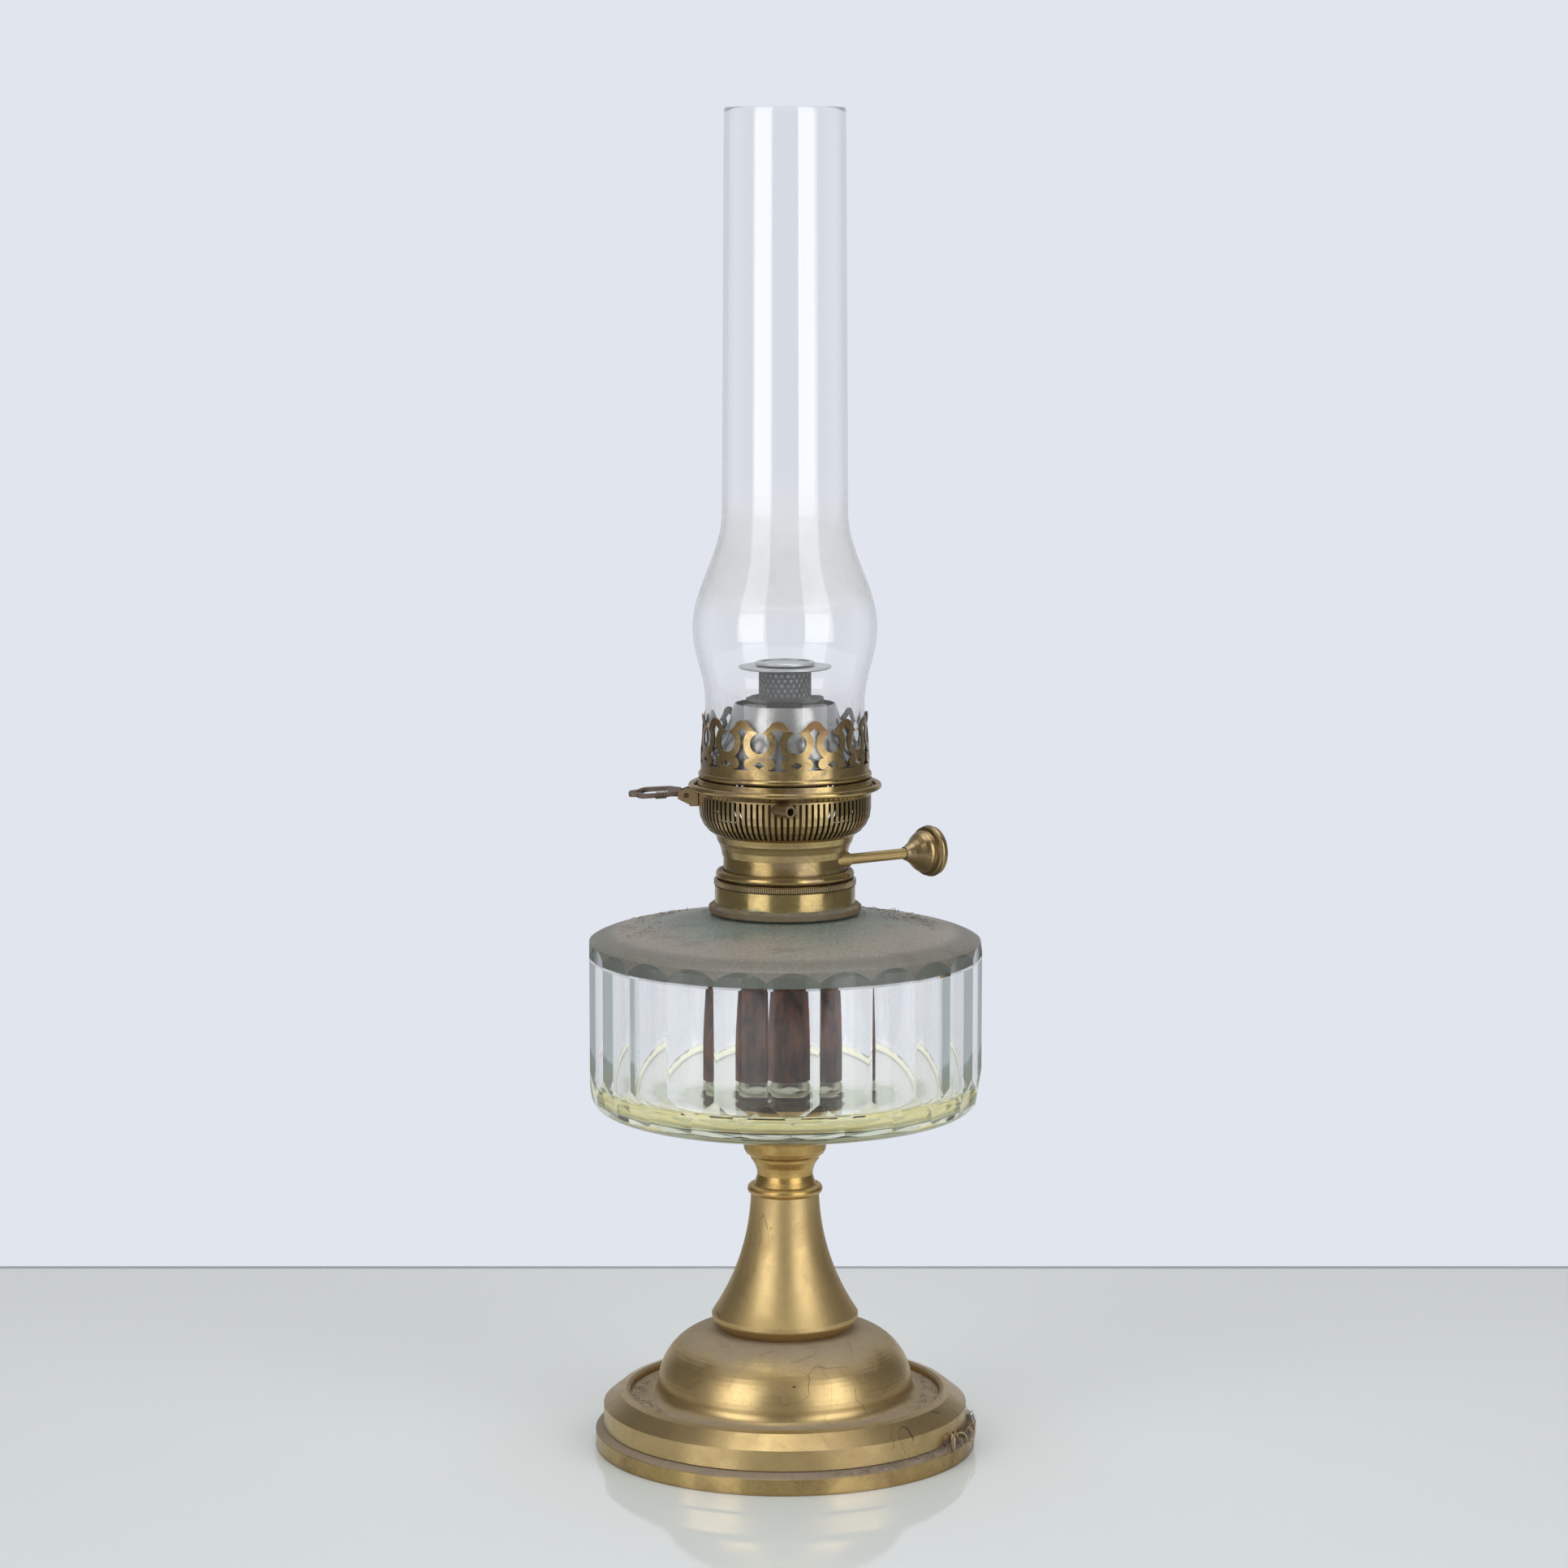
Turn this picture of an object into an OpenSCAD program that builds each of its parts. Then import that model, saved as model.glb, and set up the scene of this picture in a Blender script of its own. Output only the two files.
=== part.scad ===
// Table lamp for kerosene with a round-wick burner, a facet-cut glass font and a turned brass foot.
// Millimetres, +Z up, origin on the lamp's axis at the table. -Y is the front.

/* [Foot and stem] */
// Diameter of the base ring on the table
foot_d = 156.8; // [140:0.2:180]
// Height of the foot's dome above the table
foot_h = 48.5; // [48:0.1:56]
// Height of the trumpet stem above the dome
stem_h = 60.7; // [60:0.1:80]

/* [Font] */
// Diameter of the glass font over its facet edges
font_d = 161.2; // [150:0.2:175]
// Height of the glass from its underside to the collar
font_h = 87.7; // [84:0.1:100]
// Number of cut facets around the font
font_facets = 24; // [16:2:32]
// Angle of the first facet edge from the front, towards +X
facet_turn = 9.8; // [0:0.1:15]
// Outer diameter of the collar's band
collar_d = 57.3; // [56.8:0.1:58]

/* [Burner] */
// Direction of the wick shaft in plan, from +X
shaft_az = 35; // [20:1:60]
// Distance of the wick shaft from the lamp's axis
shaft_off = 20; // [19.8:0.1:20.1]
// Direction of the lift lever in plan, from +X
lever_az = 175; // [160:1:190]
// Number of air slots in the basket
basket_slots = 88; // [60:2:100]
// Number of lyre-shaped rings in the gallery's crown
crown_rings = 14; // [12:1:14]
// Number of vent holes around the flame spreader, in each row
vent_holes = 26; // [20:2:28]

/* [Chimney] */
// Height of the chimney glass
chimney_h = 264.8; // [230:0.2:300]
// Outer diameter of the chimney's base
chimney_base_d = 64.8; // [64:0.1:64.9]
// Outer diameter of the chimney's bulge
bulge_d = 74.9; // [70:0.1:80]
// Outer diameter of the chimney's tube at its mouth
tube_d = 48.8; // [46:0.1:52]
// Thickness of the chimney glass
chimney_wall = 1.5; // [1.2:0.1:1.8]

/* [Hidden] */

$fn = 96;

// Radii of the foot and heights of the stages, from the table up
foot_r = foot_d / 2;
font_r = font_d / 2;
collar_r = collar_d / 2;
z_dome = foot_h;
z_neck = z_dome + stem_h;
z_font = z_neck + 25.8;
z_collar = z_font + font_h;
z_burner = z_collar + 10.9;
z_rim = z_burner + 44;
z_seat = z_rim + 4.1;

// Foot
rim_r = foot_r - 3.4;
dome_r = 23.5;
dome_centre_r = 29;
fillet_r = 5;
ledge_z = 8.6;
rod_r = 3;

// Burner sheet and wick channel
sheet = 0.6;
wick_in = 13.6;
wick_out = 15.8;
wick_gap = 0.25;
shaft_z = z_burner + 11.2;
wheel_r = 4.05;
bush_r = 2.9;
bowl_r = 12;
bowl_centre_r = 23.05;
basket_r = bowl_centre_r + bowl_r;

// Lift lever, measured from its pin
lever_pin_r = 40;
lever_pin_z = z_burner + 36.6;
lever_roll = 12;
lever_droop = 4;

// Crown, in the plane of one pitch: x along the rim, y up
crown_r = 34.3;
crown_wall = 0.5;
crown_pitch = 360 / crown_rings;
crown_turn = 8;
half_pitch = PI * crown_r / crown_rings;

module ring(inner_r, outer_r, height) {
  difference() {
    cylinder(r = outer_r, h = height);
    translate([0, 0, -1]) cylinder(r = inner_r, h = height + 2);
  }
}

// Places children at the wick shaft, with their z axis along it and outwards
module at_shaft() {
  translate([shaft_off * sin(shaft_az), -shaft_off * cos(shaft_az), shaft_z])
    rotate([0, 90, shaft_az]) children();
}

// Places children at the lever's pin, with x outwards
module at_lever() {
  rotate([0, 0, lever_az]) translate([lever_pin_r, 0, lever_pin_z]) children();
}

// Smooth step from 0 to 1, and the value at t between a and b
function ease(t) = (1 - cos(180 * t)) / 2;
function mix(a, b, t) = a + (b - a) * t;

// Foot

module foot_base_ring() {
  color("darkgoldenrod") rotate_extrude() polygon([
    [64, 0], [foot_r, 0], [foot_r, 6.5], [foot_r - 0.4, 6.9], [rim_r - 0.4, ledge_z], [64, ledge_z]
  ]);
}

module foot_rim() {
  color("goldenrod") rotate_extrude() polygon([
    [rim_r - 0.5, ledge_z], [rim_r, ledge_z + 0.5], [rim_r, 17.3], [rim_r - 6.5, 22.5], [rim_r - 9.8, 23.3],
    [64.2, 22.6], [64.2, 20.2], [65.4, 20.2], [65.7, 21.6], [rim_r - 7, 21.1], [rim_r - 1.6, 16.6],
    [rim_r - 1.6, ledge_z]
  ]);
}

module foot_dome() {
  centre = [dome_centre_r, z_dome - dome_r];
  inner_r = dome_r - 1.2;
  hollow = centre + (dome_r + fillet_r) * [cos(2), sin(2)];
  color("goldenrod") rotate_extrude() polygon(concat(
    [for (a = [5 : 5 : 90]) centre + dome_r * [cos(a), sin(a)]],
    [[8, z_dome], [8, z_dome - 1.2]],
    [for (a = [90 : -5 : 5]) centre + inner_r * [cos(a), sin(a)]],
    [for (a = [182 : 7.3 : 255]) hollow + (fillet_r + 1.2) * [cos(a), sin(a)]],
    [[64, 19], [66.5, 19], [66.5, 20.2], [64.2, 20.2]],
    [for (a = [255 : -7.3 : 182]) hollow + fillet_r * [cos(a), sin(a)]]));
}

module foot_weight() {
  color("dimgray") rotate_extrude() polygon([
    [rod_r + 0.6, 6.2], [63.4, 6.2], [63.4, 17.6], [53, 20.6], [47, 27], [rod_r + 0.6, 27]
  ]);
}

module base_plate() {
  color("slategray") translate([0, 0, 5]) ring(rod_r, 64, 1.2);
}

module tie_washer() {
  color("silver") translate([0, 0, 4]) ring(rod_r, 9, 1);
}

module tie_nut() {
  color("silver") translate([0, 0, 1]) difference() {
    cylinder(r = 5.8, h = 3, $fn = 6);
    translate([0, 0, -1]) cylinder(r = rod_r, h = 5);
  }
}

module tie_rod() {
  color("silver") translate([0, 0, 0.8]) cylinder(r = rod_r, h = z_font - 8 - 0.8);
}

// Stem

module stem_trumpet() {
  bell_r = 94.5;
  centre = [14 + bell_r, z_neck - 1.2];
  color("goldenrod") rotate_extrude() {
    difference() {
      translate([3.4, z_dome + 4.9]) square([26.8, stem_h - 8.9]);
      translate(centre) circle(bell_r, $fn = 360);
      difference() {
        translate([0, z_dome - 1]) square([60, stem_h - 8.2]);
        translate(centre) circle(bell_r + 1.1, $fn = 360);
      }
    }
    polygon([[24.6, z_dome], [26.2, z_dome], [30, z_dome + 4.3], [30.2, z_dome + 4.9], [30.2, z_dome + 6.4],
      [29, z_dome + 6.4], [28.6, z_dome + 4.9]]);
  }
}

module stem_bead() {
  color("goldenrod") translate([0, 0, z_neck - 4]) rotate_extrude() {
    translate([13.5, 2]) circle(2);
    translate([rod_r + 0.4, 0]) square([10.1, 4]);
  }
}

module neck_spool() {
  color("goldenrod") translate([0, 0, z_neck]) rotate_extrude() polygon([
    [rod_r + 0.2, 0], [12.9, 0], [12, 2], [11.4, 4.2], [11.6, 5.8], [12.2, 7.8], [13.1, 9.4], [13.8, 10.6],
    [rod_r + 0.2, 10.6]
  ]);
}

module font_cup() {
  color("goldenrod") translate([0, 0, z_neck + 10.6]) rotate_extrude() polygon([
    [rod_r, 0], [14, 0], [14.2, 1.2], [16.1, 2.6], [16.9, 4.2], [17.3, 8], [19.4, 12.6], [21.2, 14.9],
    [20.1, 15.1], [18.2, 12.9], [16.1, 8], [15.8, 4.6], [13.6, 2.4], [13, 1.2], [rod_r, 1.2]
  ]);
}

module rod_nut() {
  color("silver") translate([0, 0, z_neck + 11.8]) difference() {
    cylinder(r = 5.8, h = 3.2, $fn = 6);
    translate([0, 0, -1]) cylinder(r = rod_r, h = 6);
  }
}

module cup_cement() {
  color("gainsboro") translate([0, 0, z_neck + 10.6]) rotate_extrude() polygon([
    [6, 1.4], [13, 1.4], [13.5, 2.6], [15.7, 4.7], [16, 8], [18, 12.8], [19.6, 14.7],
    [13, 14.2], [13, 6.4], [6, 6.4]
  ]);
}

// Font

// Middle of the rounding at the foot of the glass
corner_r = font_r - 10;
corner_z = 15.6;

// Section of the glass before it is cut, half of it
module font_blank() {
  difference() {
    union() {
      polygon([[0, 0.3], [20.5, 0.3], [24, 1.2], [45, 3.8], [corner_r, 5.9], [font_r - 1.2, 11.6],
        [font_r + 1, 20], [font_r + 0.6, 69.6], [font_r, 71.8], [font_r - 0.5, 74.7], [font_r - 0.7, 75.8],
        [font_r - 2, 76.6], [font_r - 4.1, 77.5], [font_r - 6.6, 78.3], [font_r - 10.6, 79.3],
        [32, 86.4], [26.2, 87.2], [26.2, 92.4], [0, 92.4]]);
      translate([corner_r, corner_z]) circle(10);
      translate([0, -7.8]) square([13, 9]);
    }
    translate([-20, -20]) square([20, 140]);
  }
}

module font_cavity() {
  polygon([[0, 5.2], [20, 5.2], [45, 8.2], [70.2, 10.9], [74.6, 14], [75.4, 20], [75.4, 68], [73, 73],
    [67.6, 75.8], [30, 83.6], [24, 87], [24, 95], [0, 95]]);
  translate([70.2, 15.8]) circle(5.2);
}

// Flat-sided column that the cut facets leave
module facet_column() {
  linear_extrude(height = 120) polygon([for (i = [0 : font_facets - 1])
    let (a = -90 + facet_turn + i * 360 / font_facets) font_r * [cos(a), sin(a)]]);
}

module font_glass() {
  lower_tilt = 9.1;
  color("azure", 0.4) translate([0, 0, z_font]) difference() {
    intersection() {
      rotate_extrude() font_blank();
      translate([0, 0, -20]) facet_column();
    }
    rotate_extrude() font_cavity();
    for (i = [0 : font_facets - 1])
      rotate([0, 0, -90 + facet_turn + i * 360 / font_facets])
        translate([font_r, 0, 23.7]) rotate([0, lower_tilt, 0]) translate([0, -15, -40]) cube([20, 30, 40]);
  }
}

module collar_cement() {
  color("gainsboro") translate([0, 0, z_collar - 0.2]) ring(26.2, 27.3, 5);
}

module font_collar() {
  color("goldenrod") translate([0, 0, z_collar]) rotate_extrude() polygon([
    [27.3, 0], [30.7, 0], [31.1, 0.5], [31.1, 2.4], [30, 3.3], [collar_r, 3.6], [collar_r, 10.8],
    [26.9, 10.8], [26.9, 4.9], [27.3, 4.9]
  ]);
}

// Burner

module thread_ring() {
  color("peru") translate([0, 0, z_burner]) rotate_extrude() {
    polygon([[25.4, -5.6], [26.3, -5.6], [26.8, -5.1], [26.8, 0.1], [28.6, 0.1], [29, 0.5], [29, 2.4],
      [28.5, 2.8], [24.4, 2.8], [24.4, 1.2], [25.4, 1.2]]);
  }
}

module burner_band() {
  color("goldenrod") difference() {
    translate([0, 0, z_burner]) rotate_extrude() {
      translate([26.35, 4.7]) circle(1.85);
      translate([24.4, 2.8]) square([0.7, 9.6]);
      translate([24.4, 2.8]) square([1.9, 1.6]);
    }
    at_shaft() translate([0, 0, 5.5]) cylinder(r = bush_r, h = 22.5);
  }
}

module burner_floor() {
  color("peru") translate([0, 0, z_burner + 4.6]) ring(wick_out + wick_gap + 0.5, 24.4, 0.8);
}

module air_basket() {
  slot_w = 1.1;
  bowl_z = 31.7;
  color("darkgoldenrod") difference() {
    translate([0, 0, z_burner]) rotate_extrude() {
      polygon(concat(
        [[24.9, 12.4], [25.6, 12.4], [26.1, 15.2], [26.9, 17.2], [27.6, 18.4], [27.8, 19.2]],
        [for (a = [-64 : 16 : 0]) [bowl_centre_r + bowl_r * cos(a), bowl_z + bowl_r * sin(a)]],
        [[basket_r, 37.9], [basket_r - sheet, 37.9]],
        [for (a = [0 : -16 : -64])
          [bowl_centre_r + (bowl_r - sheet) * cos(a), bowl_z + (bowl_r - sheet) * sin(a)]],
        [[27.1, 19.2], [26.2, 17.4], [25.4, 15.3]]));
    }
    for (i = [0 : basket_slots - 1])
      rotate([0, 0, (i + 0.5) * 360 / basket_slots])
        translate([26, -slot_w / 2, z_burner + 22.1]) cube([12, slot_w, 15.2]);
    at_lever() translate([-8, -4.5, -4]) cube([8, 9, 12]);
    at_shaft() translate([0, 0, 5.5]) cylinder(r = bush_r, h = 22.5);
  }
}

module basket_rim() {
  color("goldenrod") difference() {
    translate([0, 0, z_rim]) rotate_extrude() {
      polygon([
        [33.9, -6.1], [35.2, -6.1], [36.2, -5.3], [38.1, -4.3], [38.1, -3.1], [37, -3.7],
        [35.7, -3], [35.3, -1.4], [35.3, 0], [33.9, 0]
      ]);
      translate([38.1, -3.1]) circle(1.25);
    }
    at_lever() translate([-8, -3.2, -2]) cube([4.5, 6.4, 6.6]);
  }
}

module wick_tube() {
  color("peru") difference() {
    translate([0, 0, z_burner - 1.6]) ring(wick_out + wick_gap, wick_out + wick_gap + 0.5, 74.9);
    at_shaft() translate([-6.5, 0, -6]) cube([13, 9, 12]);
    rotate([0, 0, shaft_az + 90]) translate([10, -5, z_burner + 15.5]) cube([10, 10, 19]);
  }
}

module draft_tube() {
  color("peru") difference() {
    union() {
      translate([0, 0, z_burner + 12.4]) ring(wick_in - wick_gap - 0.5, wick_in - wick_gap, 60.5);
      translate([0, 0, z_burner + 12.4]) cylinder(r = wick_in - wick_gap - 0.3, h = 0.8);
    }
    rotate([0, 0, shaft_az + 90]) translate([10, -4.2, z_burner + 16]) cube([6, 8.4, 18]);
  }
}

// Side passage that feeds the draft tube through the gap in the wick
module air_duct() {
  color("peru") rotate([0, 0, shaft_az + 90]) translate([13, -4.2, z_burner + 16]) difference() {
    translate([0, 0, 0]) cube([3.7, 8.4, 18]);
    translate([-1, 0.5, 0.5]) cube([6, 7.4, 17]);
  }
}

module shaft_bush() {
  color("goldenrod") at_shaft() translate([0, 0, 6]) ring(2.36, bush_r, 11.5);
}

module shaft_bearing() {
  color("peru") at_shaft() translate([0, 0, -9]) difference() {
    union() {
      cylinder(r = 2.5, h = 2);
      translate([0, -2.5, 0]) cube([5.8, 5, 2]);
    }
    translate([0, 0, -1]) cylinder(r = 1.66, h = 4);
  }
}

// Hollow stud on the front, turned aside and trimmed to the basket's wall
module basket_stud() {
  stud_yaw = 38;
  color("peru") difference() {
    translate([-2.2, -basket_r, z_burner + 35.2]) rotate([90, 0, stud_yaw]) translate([0, 0, -2.4])
      ring(1.6, 2.5, 9.6);
    translate([0, 0, z_burner + 30]) cylinder(r = basket_r, h = 12);
  }
}

module lever_bracket() {
  color("goldenrod") at_lever() {
    for (side = [-1, 1]) translate([0, side * 3.6 + 0.6, 0]) rotate([90, 0, 0]) difference() {
      linear_extrude(height = 1.2) polygon([[-4.9, -3.6], [-4.9, 1.2], [-2.2, 2.9], [0, 2.8], [3.4, 1.5],
        [3.4, -1.5], [-1, -3.6]]);
      translate([0, 0, -1]) cylinder(r = 1, h = 4);
    }
    translate([-4.9, -4.2, -4.4]) cube([3.6, 8.4, 1.2]);
  }
}

module lever_pin() {
  color("silver") at_lever() rotate([90, 0, 0]) translate([0, 0, -4.5]) cylinder(r = 1, h = 9);
}

// Wick drive

module wick_shaft() {
  color("goldenrod") at_shaft() {
    translate([0, 0, -9.6]) cylinder(r = 1.6, h = 21.6);
    translate([0, 0, 12]) cylinder(r = 2.2, h = 34.4);
  }
}

module feed_wheels() {
  teeth = 14;
  color("silver") at_shaft() for (z = [-3.6, 2.4]) translate([0, 0, z]) linear_extrude(height = 1.2)
    difference() {
      polygon([for (i = [0 : 2 * teeth - 1])
        let (r = i % 2 == 0 ? wheel_r : wheel_r - 1) r * [cos(i * 180 / teeth), sin(i * 180 / teeth)]]);
      circle(1.6);
    }
}

module wick_knob() {
  color("goldenrod") at_shaft() translate([0, 0, 45.6]) rotate_extrude() difference() {
    union() {
      polygon([[0, 0], [2.7, 0], [3.2, 1.2], [4.3, 3.2], [5.7, 5], [7.3, 6.7], [8.3, 8.2], [8.6, 9.2],
        [8.2, 10], [8.6, 10.6], [10, 11], [10, 15], [8.8, 15.6], [7.6, 14.6], [0, 14.2]]);
      translate([9.1, 13.1]) circle(1.5);
    }
    translate([-1, -1]) square([3.2, 1.8]);
  }
}

// Wick

module wick_crown() {
  color("saddlebrown") difference() {
    translate([0, 0, z_burner + 3]) ring(wick_in, wick_out, 74.3);
    rotate([0, 0, shaft_az + 90]) translate([8, -5.2, z_burner - 1]) cube([12, 10.4, 54]);
  }
}

// Hanging cloth of the wick, slit into strips: a round curtain at the tube, which flattens on its way down.
// Each strip has its two edges at the top, its two edges at the bottom, as angles from the wick's gap, and
// the height of its bottom over the lowest
tail_strips = [
  [20, 97, 27, 86, 0],
  [99, 188, 108, 175, 1.5],
  [190, 278, 199, 268, 0.6],
  [280, 340, 292, 334, 3]
];
tail_rings = 9;
tail_steps = 8;
tail_wall = 2.1;
tail_top = z_burner + 2.9;
tail_bottom = z_font + 18.5;

function tail_point(strip, i, k, inset) =
  let (
    t = k / (tail_rings - 1),
    flat = ease(max(0, min(1, t * 1.35 - 0.18))),
    first = mix(strip[0], strip[2], flat),
    last = mix(strip[1], strip[3], flat),
    a = shaft_az + 90 + mix(first, last, i / tail_steps),
    wave = 0.8 * sin(5 * a) * flat,
    rx = mix(wick_out, 22.2, flat) - inset,
    ry = mix(wick_out, 9, flat) - inset + wave
  )
  [rx * cos(a), ry * sin(a), mix(tail_top, tail_bottom + strip[4], t)];

module tail_strip(strip) {
  row = tail_steps + 1;
  count = row * tail_rings;
  points = [for (inset = [0, tail_wall]) for (k = [0 : tail_rings - 1]) for (i = [0 : tail_steps])
    tail_point(strip, i, k, inset)];
  sides = [for (k = [0 : tail_rings - 2]) for (i = [0 : tail_steps - 1])
    for (f = let (a = k * row + i, b = a + row, c = a + count, d = b + count)
      [[a, a + 1, b + 1], [a, b + 1, b], [c, d + 1, c + 1], [c, d, d + 1]]) f];
  ends = [for (i = [0 : tail_steps - 1])
    for (f = let (a = i, c = i + count, e = (tail_rings - 1) * row + i, g = e + count)
      [[a, c + 1, a + 1], [a, c, c + 1], [e, e + 1, g + 1], [e, g + 1, g]]) f];
  edges = [for (k = [0 : tail_rings - 2])
    for (f = let (a = k * row, b = a + row, c = a + count, d = b + count,
        p = a + tail_steps, q = b + tail_steps, r = c + tail_steps, s = d + tail_steps)
      [[a, b, d], [a, d, c], [p, s, q], [p, r, s]]) f];
  polyhedron(points = points, faces = concat(sides, ends, edges), convexity = 4);
}

module wick_tails() {
  color("saddlebrown") for (strip = tail_strips) tail_strip(strip);
}

// Lift lever

module lever_outline() {
  outer = [[2.4, 2.2], [5, 3.4], [7.4, 4.7], [15.6, 5], [17.9, 4.9], [19.4, 4], [20.2, 2.8], [21.4, 2.3],
    [22.8, 2.1], [23.7, 1.3]];
  inner = [[7.6, 2.4], [9, 3.2], [15.9, 3.2], [17.6, 2.8], [18.6, 1.6], [20, 0.8]];
  difference() {
    polygon(concat(outer, [[24, 0]], [for (i = [len(outer) - 1 : -1 : 0]) [outer[i][0], -outer[i][1]]]));
    polygon(concat(inner, [[21.2, 0]], [for (i = [len(inner) - 1 : -1 : 0]) [inner[i][0], -inner[i][1]]]));
  }
}

module lift_lever() {
  color("dimgray") at_lever() rotate([0, lever_droop, 0]) rotate([-lever_roll, 0, 0])
    translate([0, 0, 0.8]) linear_extrude(height = 1.6) lever_outline();
}

module lift_fork() {
  post_az = 57;
  color("peru") at_lever() {
    difference() {
      union() {
        rotate([90, 0, 0]) translate([0, 0, -2.7]) cylinder(r = 2.1, h = 5.4);
        translate([-18, -2.4, -0.9]) cube([17, 4.8, 1.6]);
        translate([0, -2, -0.8]) cube([6.5, 4, 1.6]);
        translate([-lever_pin_r, 0, -0.9]) rotate([0, 0, -post_az - 6])
          rotate_extrude(angle = 2 * post_az + 12) translate([21, 0]) square([4.5, 1.6]);
        for (side = [-1, 1]) translate([-lever_pin_r, 0, 0]) rotate([0, 0, side * post_az])
          translate([23.6, 0, 0]) cylinder(r = 1.4, h = 10.2);
      }
      rotate([90, 0, 0]) translate([0, 0, -5]) cylinder(r = 1.06, h = 10);
    }
  }
}

// Gallery

// Round opening of one ring of the crown, with the notch between two caps above it
module ring_opening() {
  cap_r = 4.1;
  tip_x = 0.8;
  tip_y = 4.1;
  circle(4);
  translate([-tip_x, 0]) square([2 * tip_x, 5]);
  difference() {
    translate([-half_pitch, tip_y]) square([2 * half_pitch, 6.5]);
    for (side = [-1, 1]) {
      translate([side * half_pitch, 5]) circle(cap_r);
      polygon([[side * tip_x, tip_y], [side * 2, 4.9], [side * 3.5, 6.5], [side * half_pitch, 6.5],
        [side * half_pitch, tip_y - 0.1]]);
    }
  }
}

// Gap between two rings: pointed under the cap, narrow between the rings, with a lobe on each side below
module gap_opening() {
  lobe_r = 2.2;
  lobe_x = half_pitch - 4.3;
  difference() {
    polygon([[-3.9, -10.8], [3.9, -10.8], [3.9, -4], [2.4, 4.2], [0, 6.2], [-2.4, 4.2], [-3.9, -4]]);
    for (side = [-1, 1]) {
      translate([side * half_pitch, 0]) circle(7.1);
      translate([side * lobe_x, -8.2]) circle(lobe_r);
      translate([side * (lobe_x + lobe_r) - lobe_r, -10.35]) square([2 * lobe_r, 4.4]);
    }
  }
}

module gallery_crown() {
  ring_z = 17.5;
  color("goldenrod") difference() {
    translate([0, 0, z_rim]) rotate_extrude() polygon([
      [crown_r - crown_wall, 3], [crown_r, 3], [crown_r, 10.4], [crown_r - 0.9, 22.4], [crown_r - 0.4, 26.5],
      [crown_r - 0.4 - crown_wall, 26.5], [crown_r - 0.9 - crown_wall, 22.4], [crown_r - crown_wall, 10.4]
    ]);
    for (i = [0 : crown_rings - 1]) rotate([0, 0, -90 + crown_turn + i * crown_pitch]) {
      translate([30, 0, z_rim + ring_z]) rotate([90, 0, 90]) linear_extrude(height = 6) {
        ring_opening();
        translate([0, -8.65]) polygon([[-2.45, 0], [0, -1.45], [2.45, 0], [0, 1.45]]);
      }
      rotate([0, 0, crown_pitch / 2]) translate([30, 0, z_rim + ring_z]) rotate([90, 0, 90])
        linear_extrude(height = 6) gap_opening();
    }
  }
}

module gallery_bead() {
  color("goldenrod") translate([0, 0, z_rim]) rotate_extrude() {
    translate([34, 1.7]) circle(1.3);
    translate([32.9, 1]) square([1.1, 1.9]);
  }
}

module gallery_guides() {
  color("peru") for (i = [0 : 3]) rotate([0, 0, 45 + 90 * i]) intersection() {
    translate([0, 0, z_rim - 14]) ring(32.9, 33.6, 14.6);
    translate([20, -3.5, z_rim - 20]) cube([20, 7, 40]);
  }
}

module gallery_floor() {
  color("peru") translate([0, 0, z_rim + 3]) difference() {
    ring(19.4, crown_r - crown_wall, 1.1);
    for (i = [0 : 35]) rotate([0, 0, 10 * i]) translate([26.6, 0, -1]) cylinder(r = 1.3, h = 4);
  }
}

module air_cone() {
  color("slategray") translate([0, 0, z_seat]) rotate_extrude() polygon([
    [30, 0], [30.6, 0], [30, 3], [27.3, 9], [24.4, 15.2], [22.8, 18.8], [20.9, 25.4], [20.5, 26.4],
    [20, 26.4], [20.2, 25.2], [22.2, 18.6], [23.8, 14.9], [26.7, 8.7], [29.4, 2.8]
  ]);
}

// Chimney

chimney_base = z_seat + 0.1;
bulge_low = 27;
bulge_mid = 56.7;
bulge_top = 104;

// Outer radius of the chimney at height h above its base
function chimney_r(h) =
  h < bulge_low ? chimney_base_d / 2 :
  h < bulge_mid ?
    mix(chimney_base_d / 2, bulge_d / 2, ease((h - bulge_low) / (bulge_mid - bulge_low))) :
  h < bulge_top ?
    mix(bulge_d / 2, tube_d / 2 + 1.1, ease((h - bulge_mid) / (bulge_top - bulge_mid))) :
  tube_d / 2 + 1.1 * (chimney_h - h) / (chimney_h - bulge_top);

module chimney_glass() {
  steps = concat([0, 14], [for (i = [0 : 7]) bulge_low + (bulge_mid - bulge_low) * i / 8],
    [for (i = [0 : 12]) bulge_mid + (bulge_top - bulge_mid) * i / 12], [chimney_h - 1, chimney_h]);
  last = len(steps) - 1;
  function outer(i) = chimney_r(steps[i]) - (i == last ? 0.6 : 0);
  color("azure", 0.3) translate([0, 0, chimney_base]) rotate_extrude() polygon(concat(
    [for (i = [0 : last]) [outer(i), steps[i]]],
    [for (i = [last : -1 : 0]) [chimney_r(steps[i]) - chimney_wall, steps[i]]]));
}

// Flame spreader

module spreader_tube() {
  hole_r = 0.7;
  rows = 5;
  color("silver") difference() {
    translate([0, 0, z_burner]) rotate_extrude() polygon([
      [10.2, 88.2], [10.2, 74.6], [12.3, 72.9], [12.3, 62], [12.78, 62], [12.78, 72.9], [13.3, 72.9],
      [13.3, 73.6], [10.65, 75.4], [10.65, 88.2]
    ]);
    for (row = [0 : rows - 1]) for (i = [0 : vent_holes - 1])
      rotate([0, 0, (i + (row % 2) / 2) * 360 / vent_holes])
        translate([9, 0, z_burner + 78.4 + row * 2]) rotate([0, 90, 0]) cylinder(r = hole_r, h = 3);
  }
}

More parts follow.
